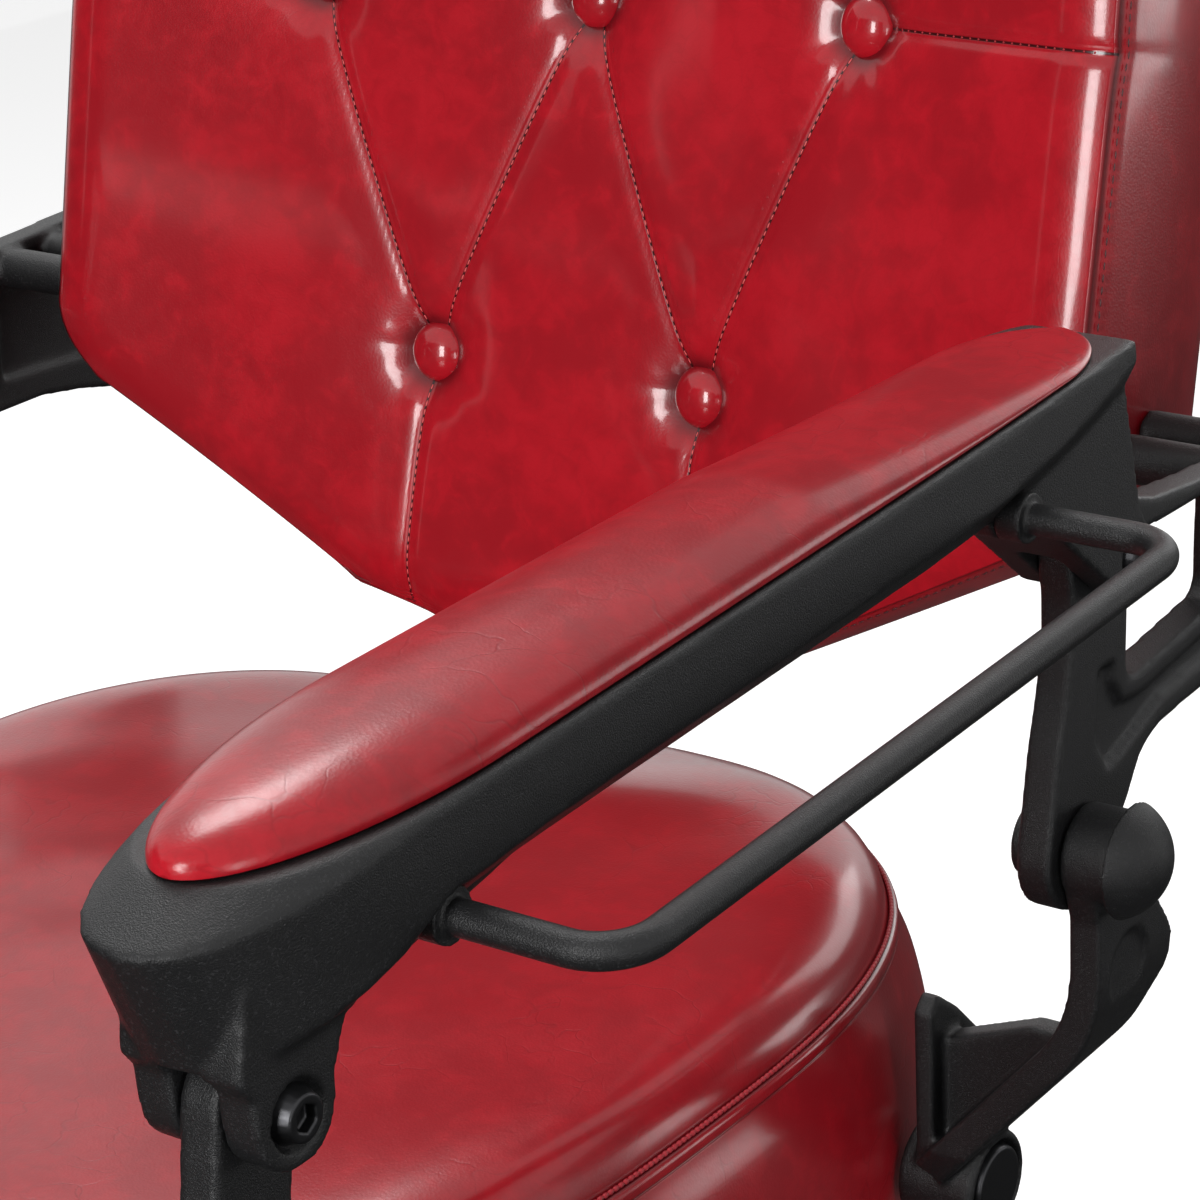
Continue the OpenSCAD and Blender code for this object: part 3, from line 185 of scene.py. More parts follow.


# Waxed red leather: clouds of darker and brighter red, fine pebbled grain, faint creases darkened with painted
# shade, and painted shade from a per-point attribute
def leatherFinish(name, mottling, creasing, gloss, blur, pleated=False):
    s = leatherSet
    made = Finish(name)
    place = made.place()
    cloud = made.noise(place, s["cloud"], 4, 0.6, 0.3)
    mottle = made.noise(place, s["mottle"], 6, 0.65, 0.5)
    dust = made.noise(place, s["dust"], 3, 0.6)
    deepen = made.between(cloud * 0.6 + mottle * 0.4, 0.56, 0.42)
    lighten = made.between(mottle * 0.6 + cloud * 0.4, 0.49, 0.64)
    colour = made.mix(deepen * mottling, s["middle"], s["deep"])
    colour = made.mix(lighten * mottling, colour, s["bright"])
    stray = made.noise(place, s["stray"], 3, out="Color")
    crackPlace = made.node("ShaderNodeMix", {"data_type": "VECTOR"}, {0: s["strayShare"], 4: place, 5: stray}, 1)
    crack = made.cells(crackPlace, s["crease"], "DISTANCE_TO_EDGE")
    crease = made.between(crack, s["creaseWidth"], 0.0) * made.between(cloud, 0.46, 0.62)
    # Painted shade in the creases
    colour = made.mix(crease * (0.35 * creasing), colour, s["paintedShade"])
    # Painted shade where the per-point attribute asks for it: seam grooves, the back's rim and the rings round the
    # buttons
    colour = made.mix(made.attribute("paintedShade") * 0.8, colour, s["paintedShade"])
    grain = made.cells(place, s["grain"])
    height = grain * 0.5 + dust * 0.5 - crease * creasing
    if pleated:
        near, aside = made.attribute("pleatNear"), made.attribute("pleatAside")
        shadedCleft = made.between(abs(aside), s["cleftHalf"], 0.25) * near
        lip = made.between(abs(aside + s["lipPlace"]), s["lipHalf"], 0.0) * near
        # Painted shade in the clefts along the pleats
        colour = made.mix(shadedCleft * 0.92, colour, s["shadedCleft"])
        height = height - 3.0 * shadedCleft + 2.2 * lip
    made.set(
        Base_Color=colour,
        Roughness=0.22 + 0.12 * mottle + 0.08 * dust,
        Coat_Weight=gloss - 0.25 * dust,
        Coat_Roughness=blur,
        Specular_IOR_Level=0.22,
        Normal=made.bump(height, s["depth"], 0.35),
    )
    return made.material


coatSet = {
    "black": (0.0075, 0.0075, 0.0080),
    "dark": (0.018, 0.018, 0.019),
    "speck": (0.045, 0.045, 0.048),
    "pebbleScale": 2100,
    "speckScale": 1700,
    "speckShare": (0.90, 0.97),  # from which level of the random cells a speck shows, and shows in full
}


# Satin black powder coat, fine pebble with smoother specks, whose lighter colour is a painted glint
def coatFinish(name, colour, roughness, grainDepth):
    made = Finish(name)
    place = made.place()
    pebble = made.noise(place, coatSet["pebbleScale"], 2, 0.6)
    broad = made.noise(place, 14, 3, 0.5)
    speckCell = made.cells(place, coatSet["speckScale"], out="Color")
    level = made.node("ShaderNodeSeparateColor", {}, {"Color": speckCell})
    speck = made.between(level, *coatSet["speckShare"])
    made.set(
        # The specks' lighter colour is a painted glint; their lower roughness and bump are real
        Base_Color=made.mix(speck * 0.3, colour, coatSet["speck"]),
        Roughness=roughness + 0.08 * broad - 0.05 * speck,
        Specular_IOR_Level=0.34,
        Normal=made.bump(pebble + 0.15 * speck, grainDepth, 1.0),
    )
    return made.material


metalSet = {
    "chrome": {"colour": (0.80, 0.81, 0.83), "roughness": 0.08, "scratch": 0.05},
    "steel": {"colour": (0.50, 0.50, 0.51), "roughness": 0.30, "scratch": 0.16},
    "darkBolt": {"colour": (0.050, 0.050, 0.053), "roughness": 0.34, "scratch": 0.12},
}


# Bare or plated metal with fine turning marks round its upright axis
def metalFinish(name):
    values = metalSet[name]
    made = Finish(name)
    place = made.place()
    marks = made.noise(made.stretched(place, (60, 60, 2600)), 1, 3, 0.6)
    smear = made.noise(place, 35, 4, 0.6)
    made.set(
        Base_Color=made.mix(smear * 0.3, values["colour"], [c * 0.8 for c in values["colour"]]),
        Metallic=1.0,
        Roughness=values["roughness"] + values["scratch"] * marks,
        Normal=made.bump(marks, 0.00002, 0.3),
    )
    return made.material


def rubberFinish():
    made = Finish("blackRubber")
    place = made.place()
    dust = made.noise(place, 60, 5, 0.6)
    pebble = made.noise(place, 1100, 2)
    made.set(
        Base_Color=made.mix(dust, (0.010, 0.010, 0.010), (0.026, 0.025, 0.024)),
        Roughness=0.62 + 0.2 * dust,
        Normal=made.bump(pebble, 0.00012, 0.6),
    )
    return made.material


def plywoodFinish():
    made = Finish("plywood")
    place = made.place()
    ply = made.noise(made.stretched(place, (8, 70, 700)), 1, 5, 0.6, 0.5)
    made.set(
        Base_Color=made.mix(ply, (0.30, 0.17, 0.075), (0.56, 0.38, 0.20)),
        Roughness=0.55 + 0.2 * ply,
        Normal=made.bump(ply, 0.0002, 0.4),
    )
    return made.material


def knobFinish():
    made = Finish("blackKnob")
    place = made.place()
    wear = made.noise(place, 120, 4, 0.6)
    made.set(
        Base_Color=made.mix(wear, (0.008, 0.008, 0.008), (0.018, 0.018, 0.018)),
        Roughness=0.12 + 0.14 * wear,
        Coat_Weight=0.4,
    )
    return made.material


def threadFinish(name, colour):
    made = Finish(name)
    place = made.place()
    twist = made.noise(place, 2400, 2)
    made.set(
        Base_Color=made.mix(twist, colour, [c * 1.9 + 0.01 for c in colour]),
        Roughness=0.42 + 0.2 * twist,
        Normal=made.bump(twist, 0.0001, 0.5),
    )
    return made.material


finishes = {
    "backLeather": leatherFinish("backLeather", mottling=0.45, creasing=0.2, gloss=0.75, blur=0.12, pleated=True),
    "buttonLeather": leatherFinish("buttonLeather", mottling=0.4, creasing=0.1, gloss=0.9, blur=0.10),
    "seatLeather": leatherFinish("seatLeather", mottling=0.35, creasing=0.6, gloss=0.75, blur=0.17),
    "padLeather": leatherFinish("padLeather", mottling=0.5, creasing=0.6, gloss=0.5, blur=0.2),
    "blackCoat": coatFinish("blackCoat", coatSet["black"], roughness=0.35, grainDepth=0.00026),
    "darkPaint": coatFinish("darkPaint", coatSet["dark"], roughness=0.52, grainDepth=0.00010),
    "chrome": metalFinish("chrome"),
    "steel": metalFinish("steel"),
    "darkBolt": metalFinish("darkBolt"),
    "rubber": rubberFinish(),
    "plywood": plywoodFinish(),
    "knob": knobFinish(),
    "cordThread": threadFinish("cordThread", (0.26, 0.005, 0.012)),
    "pleatThread": threadFinish("pleatThread", (0.24, 0.005, 0.010)),
    # Thread of the sloping pleats: the same thread as the level pleats, painted lighter as a painted highlight
    "highlitFoldThread": threadFinish("highlitFoldThread", (0.46, 0.055, 0.055)),
    "darkThread": threadFinish("darkThread", (0.045, 0.006, 0.007)),
}
# The slots that a user recolours, where they aren't named as the finish
slotNames = {
    "blackCoat": "black_coat",
    "darkPaint": "dark_paint",
    "darkBolt": "dark_bolt",
    "padLeather": "red_leather",
}
print("finishes ready")

# Stage and light

# Each lamp: place, the point it faces, width, height, power in watts
lampSet = {
    "frontBox": ((0.40, -2.70, 1.30), (0, 0.1, 0.75), 0.75, 1.5, 68),
    "topBox": ((-0.75, 0.65, 2.75), (0.2, -0.25, 0.7), 0.9, 0.9, 31),
    "rearBox": ((0.4, 2.9, 1.8), (0, 0.2, 0.7), 1.8, 1.2, 20),
    "rightBox": ((2.6, -1.3, 0.45), (0.1, 0, 0.6), 0.35, 1.2, 11),
}
worldGlow = 0.27  # light from all round on the object, where 1 is white
floorSet = {"size": 12, "colour": (0.82, 0.82, 0.82), "glow": 0.6}

# Cards that only reflections see, as in a studio: place, the way they face, width, height, glow
cardSet = {
    "frontCard": ((0, -2.95, 1.2), (0, 1, 0), 6.0, 2.6, 0.02),
    "leftCard": ((-3.3, -1.5, 1.2), (1, 0, 0), 3.0, 2.6, 0.02),
    "floorCard": ((0, 0.8, 0.004), (0, 0, 1), 6.0, 7.2, 0.04),
    "rearCard": ((2.2, 3.5, 1.6), (-0.3, -1, 0), 4.6, 3.2, 0.15),
    "sideCard": ((2.5, 2.8, 0.50), (-0.66, -0.75, 0), 1.2, 0.8, 4.5),
}


def rectangle(name, width, height):
    x, y = width / 2, height / 2
    mesh = bpy.data.meshes.new(name)
    mesh.from_pydata([(-x, -y, 0), (x, -y, 0), (x, y, 0), (-x, y, 0)], [], [(0, 1, 2, 3)])
    return link(bpy.data.objects.new(name, mesh))


# The matrix that moves an object to a place and turns one of its axes along a direction
def aimed(place, direction, axis):
    turn = Vector(direction).to_track_quat(axis, "Y").to_matrix().to_4x4()
    return Matrix.Translation(place) @ turn


def makeLamps():
    for name, (place, target, width, height, power) in lampSet.items():
        data = bpy.data.lights.new(name, "AREA")
        data.shape = "RECTANGLE"
        data.size, data.size_y, data.energy = width, height, power
        lamp = link(bpy.data.objects.new(name, data))
        lamp.matrix_world = aimed(place, Vector(target) - Vector(place), "-Z")


def makeCards():
    for name, (place, facing, width, height, glow) in cardSet.items():
        card = rectangle(name, width, height)
        card.matrix_world = aimed(place, facing, "Z")
        paint = Finish(name)
        paint.set(Base_Color=(0, 0, 0, 1), Specular_IOR_Level=0)
        paint.set(Emission_Color=(1, 1, 1, 1), Emission_Strength=glow)
        card.data.materials.append(paint.material)
        for ray in ("camera", "diffuse", "transmission", "volume_scatter", "shadow"):
            setattr(card, "visible_" + ray, False)


def floorFinish():
    made = Finish("paleFloor")
    place = made.place()
    path = made.node("ShaderNodeLightPath", out="Is Camera Ray")
    tone = made.noise(place, 3, 2)
    low = [c * 0.98 for c in floorSet["colour"]]
    made.set(
        Base_Color=made.mix(tone, floorSet["colour"], low),
        Roughness=0.9,
        Emission_Color=(1, 1, 1, 1),
        Emission_Strength=path * floorSet["glow"],
    )
    return made.material


def makeStage():
    floor = rectangle("floorSheet", floorSet["size"], floorSet["size"])
    floor.data.materials.append(floorFinish())
    world = bpy.context.scene.world or bpy.data.worlds.new("studio")
    bpy.context.scene.world = world
    world.use_nodes = True
    sheet = Sheet(world.node_tree)
    ground = sheet.tree.nodes["Background"]
    ground.inputs["Color"].default_value = (1, 1, 1, 1)
    seen, passed, mirrored = (
        sheet.node("ShaderNodeLightPath", out="Is " + ray + " Ray") for ray in ("Camera", "Transmission", "Glossy")
    )
    bright = seen.larger(passed).larger(mirrored)
    sheet.plug(ground.inputs["Strength"], worldGlow + (1 - worldGlow) * bright)


makeCamera()
makeStage()
makeCards()
makeLamps()
print("stage ready")

# Mesh helpers


def meshPiece(name, points, faces, finish):
    mesh = bpy.data.meshes.new(name)
    mesh.from_pydata([tuple(p) for p in points], [], faces)
    mesh.materials.append(finishes[finish])
    mesh.validate()
    return link(bpy.data.objects.new(name, mesh))


def attach(piece, body, slotName, *replaced):
    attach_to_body(piece, body)
    if replaced:
        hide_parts(*replaced)
    return piece


def addAttribute(piece, name, values):
    made = piece.data.attributes.new(name, "FLOAT", "POINT")
    made.data.foreach_set("value", np.asarray(values, np.float32))


# Faces over equal rings of points, closed at the ends by the two points that follow the rings
def skinFaces(rows, count, start=0):
    faces = []
    for j in range(rows - 1):
        for i in range(count):
            a, b = start + j * count + i, start + j * count + (i + 1) % count
            faces.append((a, b, b + count, a + count))
    last, tip = start + (rows - 1) * count, start + rows * count
    for i in range(count):
        j = (i + 1) % count
        faces += [(tip, start + j, start + i), (tip + 1, last + i, last + j)]
    return faces


# Faces that point outwards on a closed piece
def fixNormals(piece):
    work = bmesh.new()
    work.from_mesh(piece.data)
    bmesh.ops.recalc_face_normals(work, faces=work.faces)
    work.to_mesh(piece.data)
    work.free()
    piece.data.shade_smooth()


# The evaluated object as a plain mesh, with no modifiers left
def bake(piece):
    depsgraph = bpy.context.evaluated_depsgraph_get()
    mesh = bpy.data.meshes.new_from_object(piece.evaluated_get(depsgraph))
    mesh.name = piece.name
    piece.modifiers.clear()
    piece.data = mesh
    return piece


# A merged copy of a CAD solid
def cadCopy(name, node, finish):
    mesh = cadNodes[node].data.copy()
    mesh.name = name
    work = bmesh.new()
    work.from_mesh(mesh)
    bmesh.ops.remove_doubles(work, verts=work.verts, dist=1e-6)
    work.to_mesh(mesh)
    work.free()
    mesh.materials.clear()
    mesh.materials.append(finishes[finish])
    return link(bpy.data.objects.new(name, mesh))


# A casting or forging: the CAD solid remeshed and eased, so that its edges and inner corners are round
def cast(name, node, body, finish, voxel, easing):
    piece = cadCopy(name, node, finish)
    remesh = piece.modifiers.new("remesh", "REMESH")
    remesh.mode = "VOXEL"
    remesh.voxel_size = voxel * mm
    remesh.use_smooth_shade = True
    ease = piece.modifiers.new("ease", "SMOOTH")
    ease.factor, ease.iterations = 0.5, easing
    bake(piece)
    piece.data.materials.clear()
    piece.data.materials.append(finishes[finish])
    return attach(piece, body, slotNames.get(finish, finish), node)


# A plate, bar or turned part: the CAD solid with its edges broken
def trim(name, node, body, finish, width):
    piece = cadCopy(name, node, finish)
    flat = piece.modifiers.new("flat", "DECIMATE")
    flat.decimate_type = "DISSOLVE"
    flat.angle_limit = math.radians(1)
    bevel = piece.modifiers.new("bevel", "BEVEL")
    bevel.width, bevel.segments, bevel.limit_method = width * mm, 2, "ANGLE"
    bevel.angle_limit = math.radians(35)
    bake(piece)
    piece.data.shade_smooth()
    piece.data.set_sharp_from_angle(angle=math.radians(38))
    return attach(piece, body, slotNames.get(finish, finish), node)


# Castings and other metal

# node: body, finish, voxel in mm, easing passes
castSet = {
    "armrest_left": ("arm_left", "blackCoat", 1.3, 5),
    "armrest_right": ("arm_right", "blackCoat", 1.5, 4),
    "back_casting_left": ("back", "blackCoat", 1.3, 4),
    "back_casting_right": ("back", "blackCoat", 1.6, 3),
    "rear_bracket_left": ("seat", "blackCoat", 1.2, 5),
    "rear_bracket_right": ("seat", "blackCoat", 1.5, 4),
    "front_bracket_left": ("seat", "blackCoat", 1.6, 3),
    "front_bracket_right": ("seat", "blackCoat", 1.6, 3),
    "front_post_left": ("legrest", "blackCoat", 1.4, 3),
    "front_post_right": ("legrest", "blackCoat", 1.6, 3),
    "recline_pin_left": ("seat", "blackCoat", 0.8, 4),
    "recline_pin_right": ("seat", "blackCoat", 0.8, 4),
    "legrest_pin_left": ("seat", "blackCoat", 0.8, 4),
    "legrest_pin_right": ("seat", "blackCoat", 0.8, 4),
    "arm_bolts_left": ("arm_left", "darkBolt", 0.4, 2),
    "arm_bolts_right": ("arm_right", "darkBolt", 0.5, 2),
    "back_bolts": ("back", "darkBolt", 0.6, 2),
    "bracket_bolts": ("seat", "darkBolt", 0.6, 2),
    "towel_bar": ("arm_left", "blackCoat", 0.7, 3),
    "headrest_socket": ("back", "blackCoat", 1.2, 2),
    "recline_lever": ("lever", "blackCoat", 0.9, 3),
    "swivel_head": ("seat", "darkPaint", 2.0, 2),
    "pump_housing": ("base", "darkPaint", 2.0, 2),
    "pedal_arm": ("pedal", "blackCoat", 1.2, 3),
    "pedal_clevis": ("base", "darkPaint", 1.0, 2),
    "foot_hinge": ("footrest", "blackCoat", 1.1, 3),
    "lock_cylinder": ("seat", "darkPaint", 1.2, 2),
    "base_disc": ("base", "blackCoat", 2.6, 3),
    "pump_cover": ("base", "blackCoat", 1.8, 2),
}

# node: body, finish, edge break in mm
trimSet = {
    "legrest_tubes": ("legrest", "blackCoat", 1.0),
    "foot_plate": ("footrest", "blackCoat", 1.2),
    "foot_tread": ("footrest", "rubber", 0.8),
    "base_ring": ("base", "rubber", 1.0),
    "pump_collar": ("base", "chrome", 0.8),
    "ram_seal": ("base", "rubber", 0.6),
    "pedal_pin": ("base", "steel", 0.6),
    "pedal_pad": ("pedal", "rubber", 0.8),
    "lift_ram": ("lift", "chrome", 0.6),
    "thrust_ring": ("lift", "steel", 0.6),
    "head_bolts": ("seat", "darkBolt", 0.6),
    "seat_plate": ("seat", "darkPaint", 1.0),
    "seat_board": ("seat", "plywood", 0.8),
    "lever_knob": ("lever", "knob", 0.8),
    "back_board": ("back", "plywood", 0.8),
    "headrest_bar": ("head_slide", "chrome", 0.8),
    "headrest_pin": ("head_slide", "steel", 0.5),
    "headrest_bracket": ("headrest", "darkPaint", 0.8),
    "calf_board": ("legrest", "plywood", 0.8),
}

for node, values in castSet.items():
    cast(node + "_form", node, *values)
print("castings ready")
for node, values in trimSet.items():
    trim(node + "_form", node, *values)
print("plates and turned parts ready")

# Stitches

# Sizes in mm of each kind of stitch
stitchSet = {
    "top": {"pitch": 4.4, "length": 3.1, "thread": 0.36},
    "pleat": {"pitch": 4.0, "length": 1.0, "thread": 0.45},
    "fold": {"pitch": 3.5, "length": 2.8, "thread": 0.40},
    "cord": {"pitch": 2.7, "length": 3.5, "thread": 1.0},
}


# A row of thread stitches along an edge path, as a node tree with named sizes
def stitchTree(finish):
    tree = bpy.data.node_groups.new("stitchRow", "GeometryNodeTree")
    face = tree.interface
    face.new_socket("Geometry", in_out="INPUT", socket_type="NodeSocketGeometry")
    face.new_socket("Geometry", in_out="OUTPUT", socket_type="NodeSocketGeometry")
    sizes = {}
    for label in ("Pitch", "Stitch length", "Thread radius"):
        sizes[label] = face.new_socket(label, in_out="INPUT", socket_type="NodeSocketFloat").identifier
    sheet = Sheet(tree)
    given = tree.nodes.new("NodeGroupInput").outputs
    path, pitch, length, radius = (Wire(sheet, given[label]) for label in ("Geometry", *sizes))
    curve = sheet.node("GeometryNodeMeshToCurve", {}, {"Mesh": path})
    spaced = sheet.node("GeometryNodeResampleCurve", {"mode": "LENGTH"}, {"Curve": curve, "Length": pitch})
    tangent = sheet.node("GeometryNodeInputTangent")
    along = sheet.node("FunctionNodeAlignRotationToVector", {"axis": "Z"}, {"Vector": tangent})
    bead = sheet.node("GeometryNodeMeshUVSphere", {}, {"Segments": 6, "Rings": 5, "Radius": 1})
    size = sheet.node("ShaderNodeCombineXYZ", {}, {"X": radius, "Y": radius, "Z": length * 0.5})
    spots = {"Points": spaced, "Instance": bead, "Rotation": along, "Scale": size}
    row = sheet.node("GeometryNodeInstanceOnPoints", {}, spots)
    real = sheet.node("GeometryNodeRealizeInstances", {}, {"Geometry": row})
    paint = {"Geometry": real, "Material": finishes[finish]}
    painted = sheet.node("GeometryNodeSetMaterial", {}, paint)
    sheet.plug(tree.nodes.new("NodeGroupOutput").inputs["Geometry"], painted)
    return tree, sizes


# Stitches along one or more paths, each a list of points in metres
def stitch(name, paths, body, finish, kind):
    values = stitchSet[kind]
    points, edges = [], []
    for path in paths:
        first = len(points)
        points += [tuple(p) for p in path]
        edges += [(first + i, first + i + 1) for i in range(len(path) - 1)]
    mesh = bpy.data.meshes.new(name)
    mesh.from_pydata(points, edges, [])
    piece = link(bpy.data.objects.new(name, mesh))
    tree, sizes = stitchTree(finish)
    rows = piece.modifiers.new("stitches", "NODES")
    rows.node_group = tree
    rows[sizes["Pitch"]] = values["pitch"] * mm
    rows[sizes["Stitch length"]] = values["length"] * mm
    rows[sizes["Thread radius"]] = values["thread"] * mm
    bake(piece)
    piece.data.shade_smooth()
    return attach(piece, body, "red_leather")


# Tufted backrest

backSet = {
    "origin": (0, 264, 824),
    "tilt": 12,
    "halfWidth": 250,
    "drop": 262,
    "top": 262,
    "wrap": 34,
    "thickness": 77,
    "taper": -180,  # height below which the rear comes forward
    "taperDepth": 48,
    "corner": 42,
    "waist": 21,  # how far the lower part's corners stand in
    "waistRun": 34,
    # Lower part: (share of its height, share of its width)
    "chin": ((0, 0.22), (0.12, 0.4259), (1, 1)),
    "buttonPitch": 132,
    "buttonRow": 151,
    "pit": 12,
    "pitShape": ((0.30, 36), (0.70, 15)),  # share of the pit's depth, reach
    "pucker": (0.22, 0.10),  # height of the 7 and of the 12 folds round a button
    "puckerRing": (20, 8),  # place and reach of the folds
    "pleat": 2.4,
    "pleatShape": ((0.5, 13), (0.5, 3.2)),  # share of the pleat's depth, reach
    "roll": 26,
    "seamInset": 9,
    "topStitch": (4.5, 1.5),  # behind the seam and out
    "buttonGap": 15,  # from a button's middle to the first stitch of a pleat
    "edgeGap": 8,
    # Grid of the front: columns, rows below and above the height that is seen from near
    "columns": 250,
    "lowerRows": 182,
    "upperRows": 81,
    "fineTo": 25,
    "rearMiddle": 20,
    "rearLoops": 5,
}
# Side band, a sewn groove, a full bulge and a tuck at the rear edge: (share of the way to the rear, out)
backBand = [(0.006, -1.0), (0.020, -1.3), (0.035, -0.2), (0.06, 0.9), (0.12, 2.0), (0.22, 3.1), (0.34, 3.9),
            (0.48, 4.1), (0.62, 3.4), (0.76, 1.8), (0.88, -0.6), (0.95, -2.6), (1.0, -5.0)]
backTilt = math.radians(backSet["tilt"])
diagonalTop = -0.7 * backSet["drop"]


# Back frame (x, depth, v) in mm to metres in the chair's frame
def fromBack(points):
    points = np.asarray(points, float)
    x, y, v = points[..., 0], points[..., 1], points[..., 2]
    c, s = math.cos(backTilt), math.sin(backTilt)
    ox, oy, oz = backSet["origin"]
    return np.stack([x + ox, oy + y * c + v * s, oz - y * s + v * c], -1) * mm


# Half width of the backrest at height v: rounded top corners, straight sides, a pointed lower part
def backSide(v):
    s = backSet
    half, low, top, r = s["halfWidth"], -s["drop"], s["top"], s["corner"]
    v = np.asarray(v, float)
    rise = (v - low) / (diagonalTop - low)
    lower = (half - s["waist"]) * np.interp(rise, *zip(*s["chin"]))
    shoulder = diagonalTop + s["waistRun"]
    bend = half - s["waist"] * ((shoulder - v) / s["waistRun"]) ** 2
    rounded = half - r + np.sqrt(np.clip(r * r - (v - top + r) ** 2, 0, None))
    wide = np.where(v > shoulder, half, bend)
    return np.where(v > top - r, rounded, np.where(v > diagonalTop, wide, lower))


halfPitch = backSet["buttonPitch"] / 2
buttonPlaces = [(-2 * halfPitch, 0), (0, 0), (2 * halfPitch, 0)] + [
    (s * halfPitch, r * backSet["buttonRow"]) for r in (-1, 1) for s in (-1, 1)
]


# The pleats between buttons and from them to the edge, as pairs of points
def pleatLines():
    row, half = backSet["buttonRow"], backSet["halfWidth"]
    lines = []
    for s in (-1, 1):
        for r in (-1, 1):
            lines.append(((2 * s * halfPitch, 0), (s * halfPitch, r * row)))
            lines.append(((0, 0), (s * halfPitch, r * row)))
        lines.append(((2 * s * halfPitch, 0), (s * half, 0)))
        lines.append(((s * halfPitch, -row), (s * (halfPitch + 4), -backSet["drop"])))
        lines.append(((s * halfPitch, row), (s * halfPitch, backSet["top"])))
    return lines


def pleatDistance(x, v, line):
    (ax, av), (bx, bv) = line
    dx, dv = bx - ax, bv - av
    t = np.clip(((x - ax) * dx + (v - av) * dv) / (dx * dx + dv * dv), 0, 1)
    return np.hypot(x - ax - t * dx, v - av - t * dv)


# Depth of the rear face
def backRear(v):
    v = np.asarray(v, float)
    f = np.clip((backSet["taper"] - v) / (backSet["drop"] + backSet["taper"]), 0, None)
    return backSet["thickness"] - backSet["taperDepth"] * f ** 1.4


# Sum at distance d of bell curves, each with its share and reach
def bells(shape, d):
    return sum(share * np.exp(-((d / reach) ** 2)) for share, reach in shape)


# Depth of the front surface: wrap, buttons, pleats and the roll to the edge
def backFront(x, v, edge):
    s = backSet
    x, v = np.asarray(x, float), np.asarray(v, float)
    wrap = s["wrap"] * (x / s["halfWidth"]) ** 2
    pit, fold, pleat = np.zeros_like(x), np.zeros_like(x), np.zeros_like(x)
    few, many = s["pucker"]
    at, reach = s["puckerRing"]
    for bx, bv in buttonPlaces:
        r = np.hypot(x - bx, v - bv)
        pit = np.maximum(pit, s["pit"] * bells(s["pitShape"], r))
        turn = np.arctan2(v - bv, x - bx)
        ring = np.exp(-(((r - at) / reach) ** 2))
        fold += few * ring * np.cos(7 * turn + bx) + many * ring * np.cos(12 * turn + bv)
    for line in pleatLines():
        pleat = np.maximum(pleat, s["pleat"] * bells(s["pleatShape"], pleatDistance(x, v, line)))
    roll = np.clip(1 - edge / s["roll"], 0, 1)
    return -wrap + pit + pleat + fold + s["seamInset"] * roll ** 2.3


# Painted shade: a dark ring round each button, where the leather is drawn in
def buttonShadeAmount(x, v):
    x, v = np.asarray(x, float), np.asarray(v, float)
    value = np.zeros_like(x)
    for bx, bv in buttonPlaces:
        r = np.hypot(x - bx, v - bv)
        value = np.maximum(value, np.exp(-(((r - 12) / 4.5) ** 2)))
    return value


# Distance below or above the nearest pleat, within 6 mm, and whether the pleat is near
def pleatAside(x, v):
    nearest = np.full(x.shape, 6.0)
    aside = np.full(x.shape, 6.0)
    for line in pleatLines():
        (ax, av), (bx, bv) = line
        dx, dv = bx - ax, bv - av
        facing = -1 if dx > 0 else 1
        over = facing * (dx * (v - av) - dv * (x - ax)) / math.hypot(dx, dv)
        d = pleatDistance(x, v, line)
        closer = d < nearest
        nearest = np.where(closer, d, nearest)
        aside = np.where(closer, over, aside)
    return np.clip(aside, -6, 6), np.clip((5 - nearest) / 1.5, 0, 1)


def edgeDistance(x, v, outline):
    nearest = np.full(x.shape, 1e9)
    for a, b in zip(outline, np.roll(outline, -1, 0)):
        if np.hypot(*(b - a)) > 1e-4:
            nearest = np.minimum(nearest, pleatDistance(x, v, (a, b)))
    return nearest


def backOutline():
    v = np.linspace(-backSet["drop"], backSet["top"], 70)
    half = backSide(v)
    return np.concatenate([np.stack([half, v], -1), np.stack([-half[::-1], v[::-1]], -1)])


# Directions away from the middle at each point of the rim, evened out round the corners
def outwardFrom(rim):
    ahead = np.roll(rim, -1, 0) - np.roll(rim, 1, 0)
    outward = np.stack([ahead[:, 2], -ahead[:, 0]], -1)
    outward /= np.maximum(np.linalg.norm(outward, axis=1, keepdims=True), 1e-9)
    for _ in range(6):
        outward = 0.5 * outward + 0.25 * (np.roll(outward, 1, 0) + np.roll(outward, -1, 0))
    return outward


# The rim moved back by a share of the way to the rear, and outwards
def bandLoop(rim, outward, share, out):
    depth = rim[:, 1] + share * (backRear(rim[:, 2]) - rim[:, 1])
    return np.stack([rim[:, 0] + out * outward[:, 0], depth, rim[:, 2] + out * outward[:, 1]], -1)


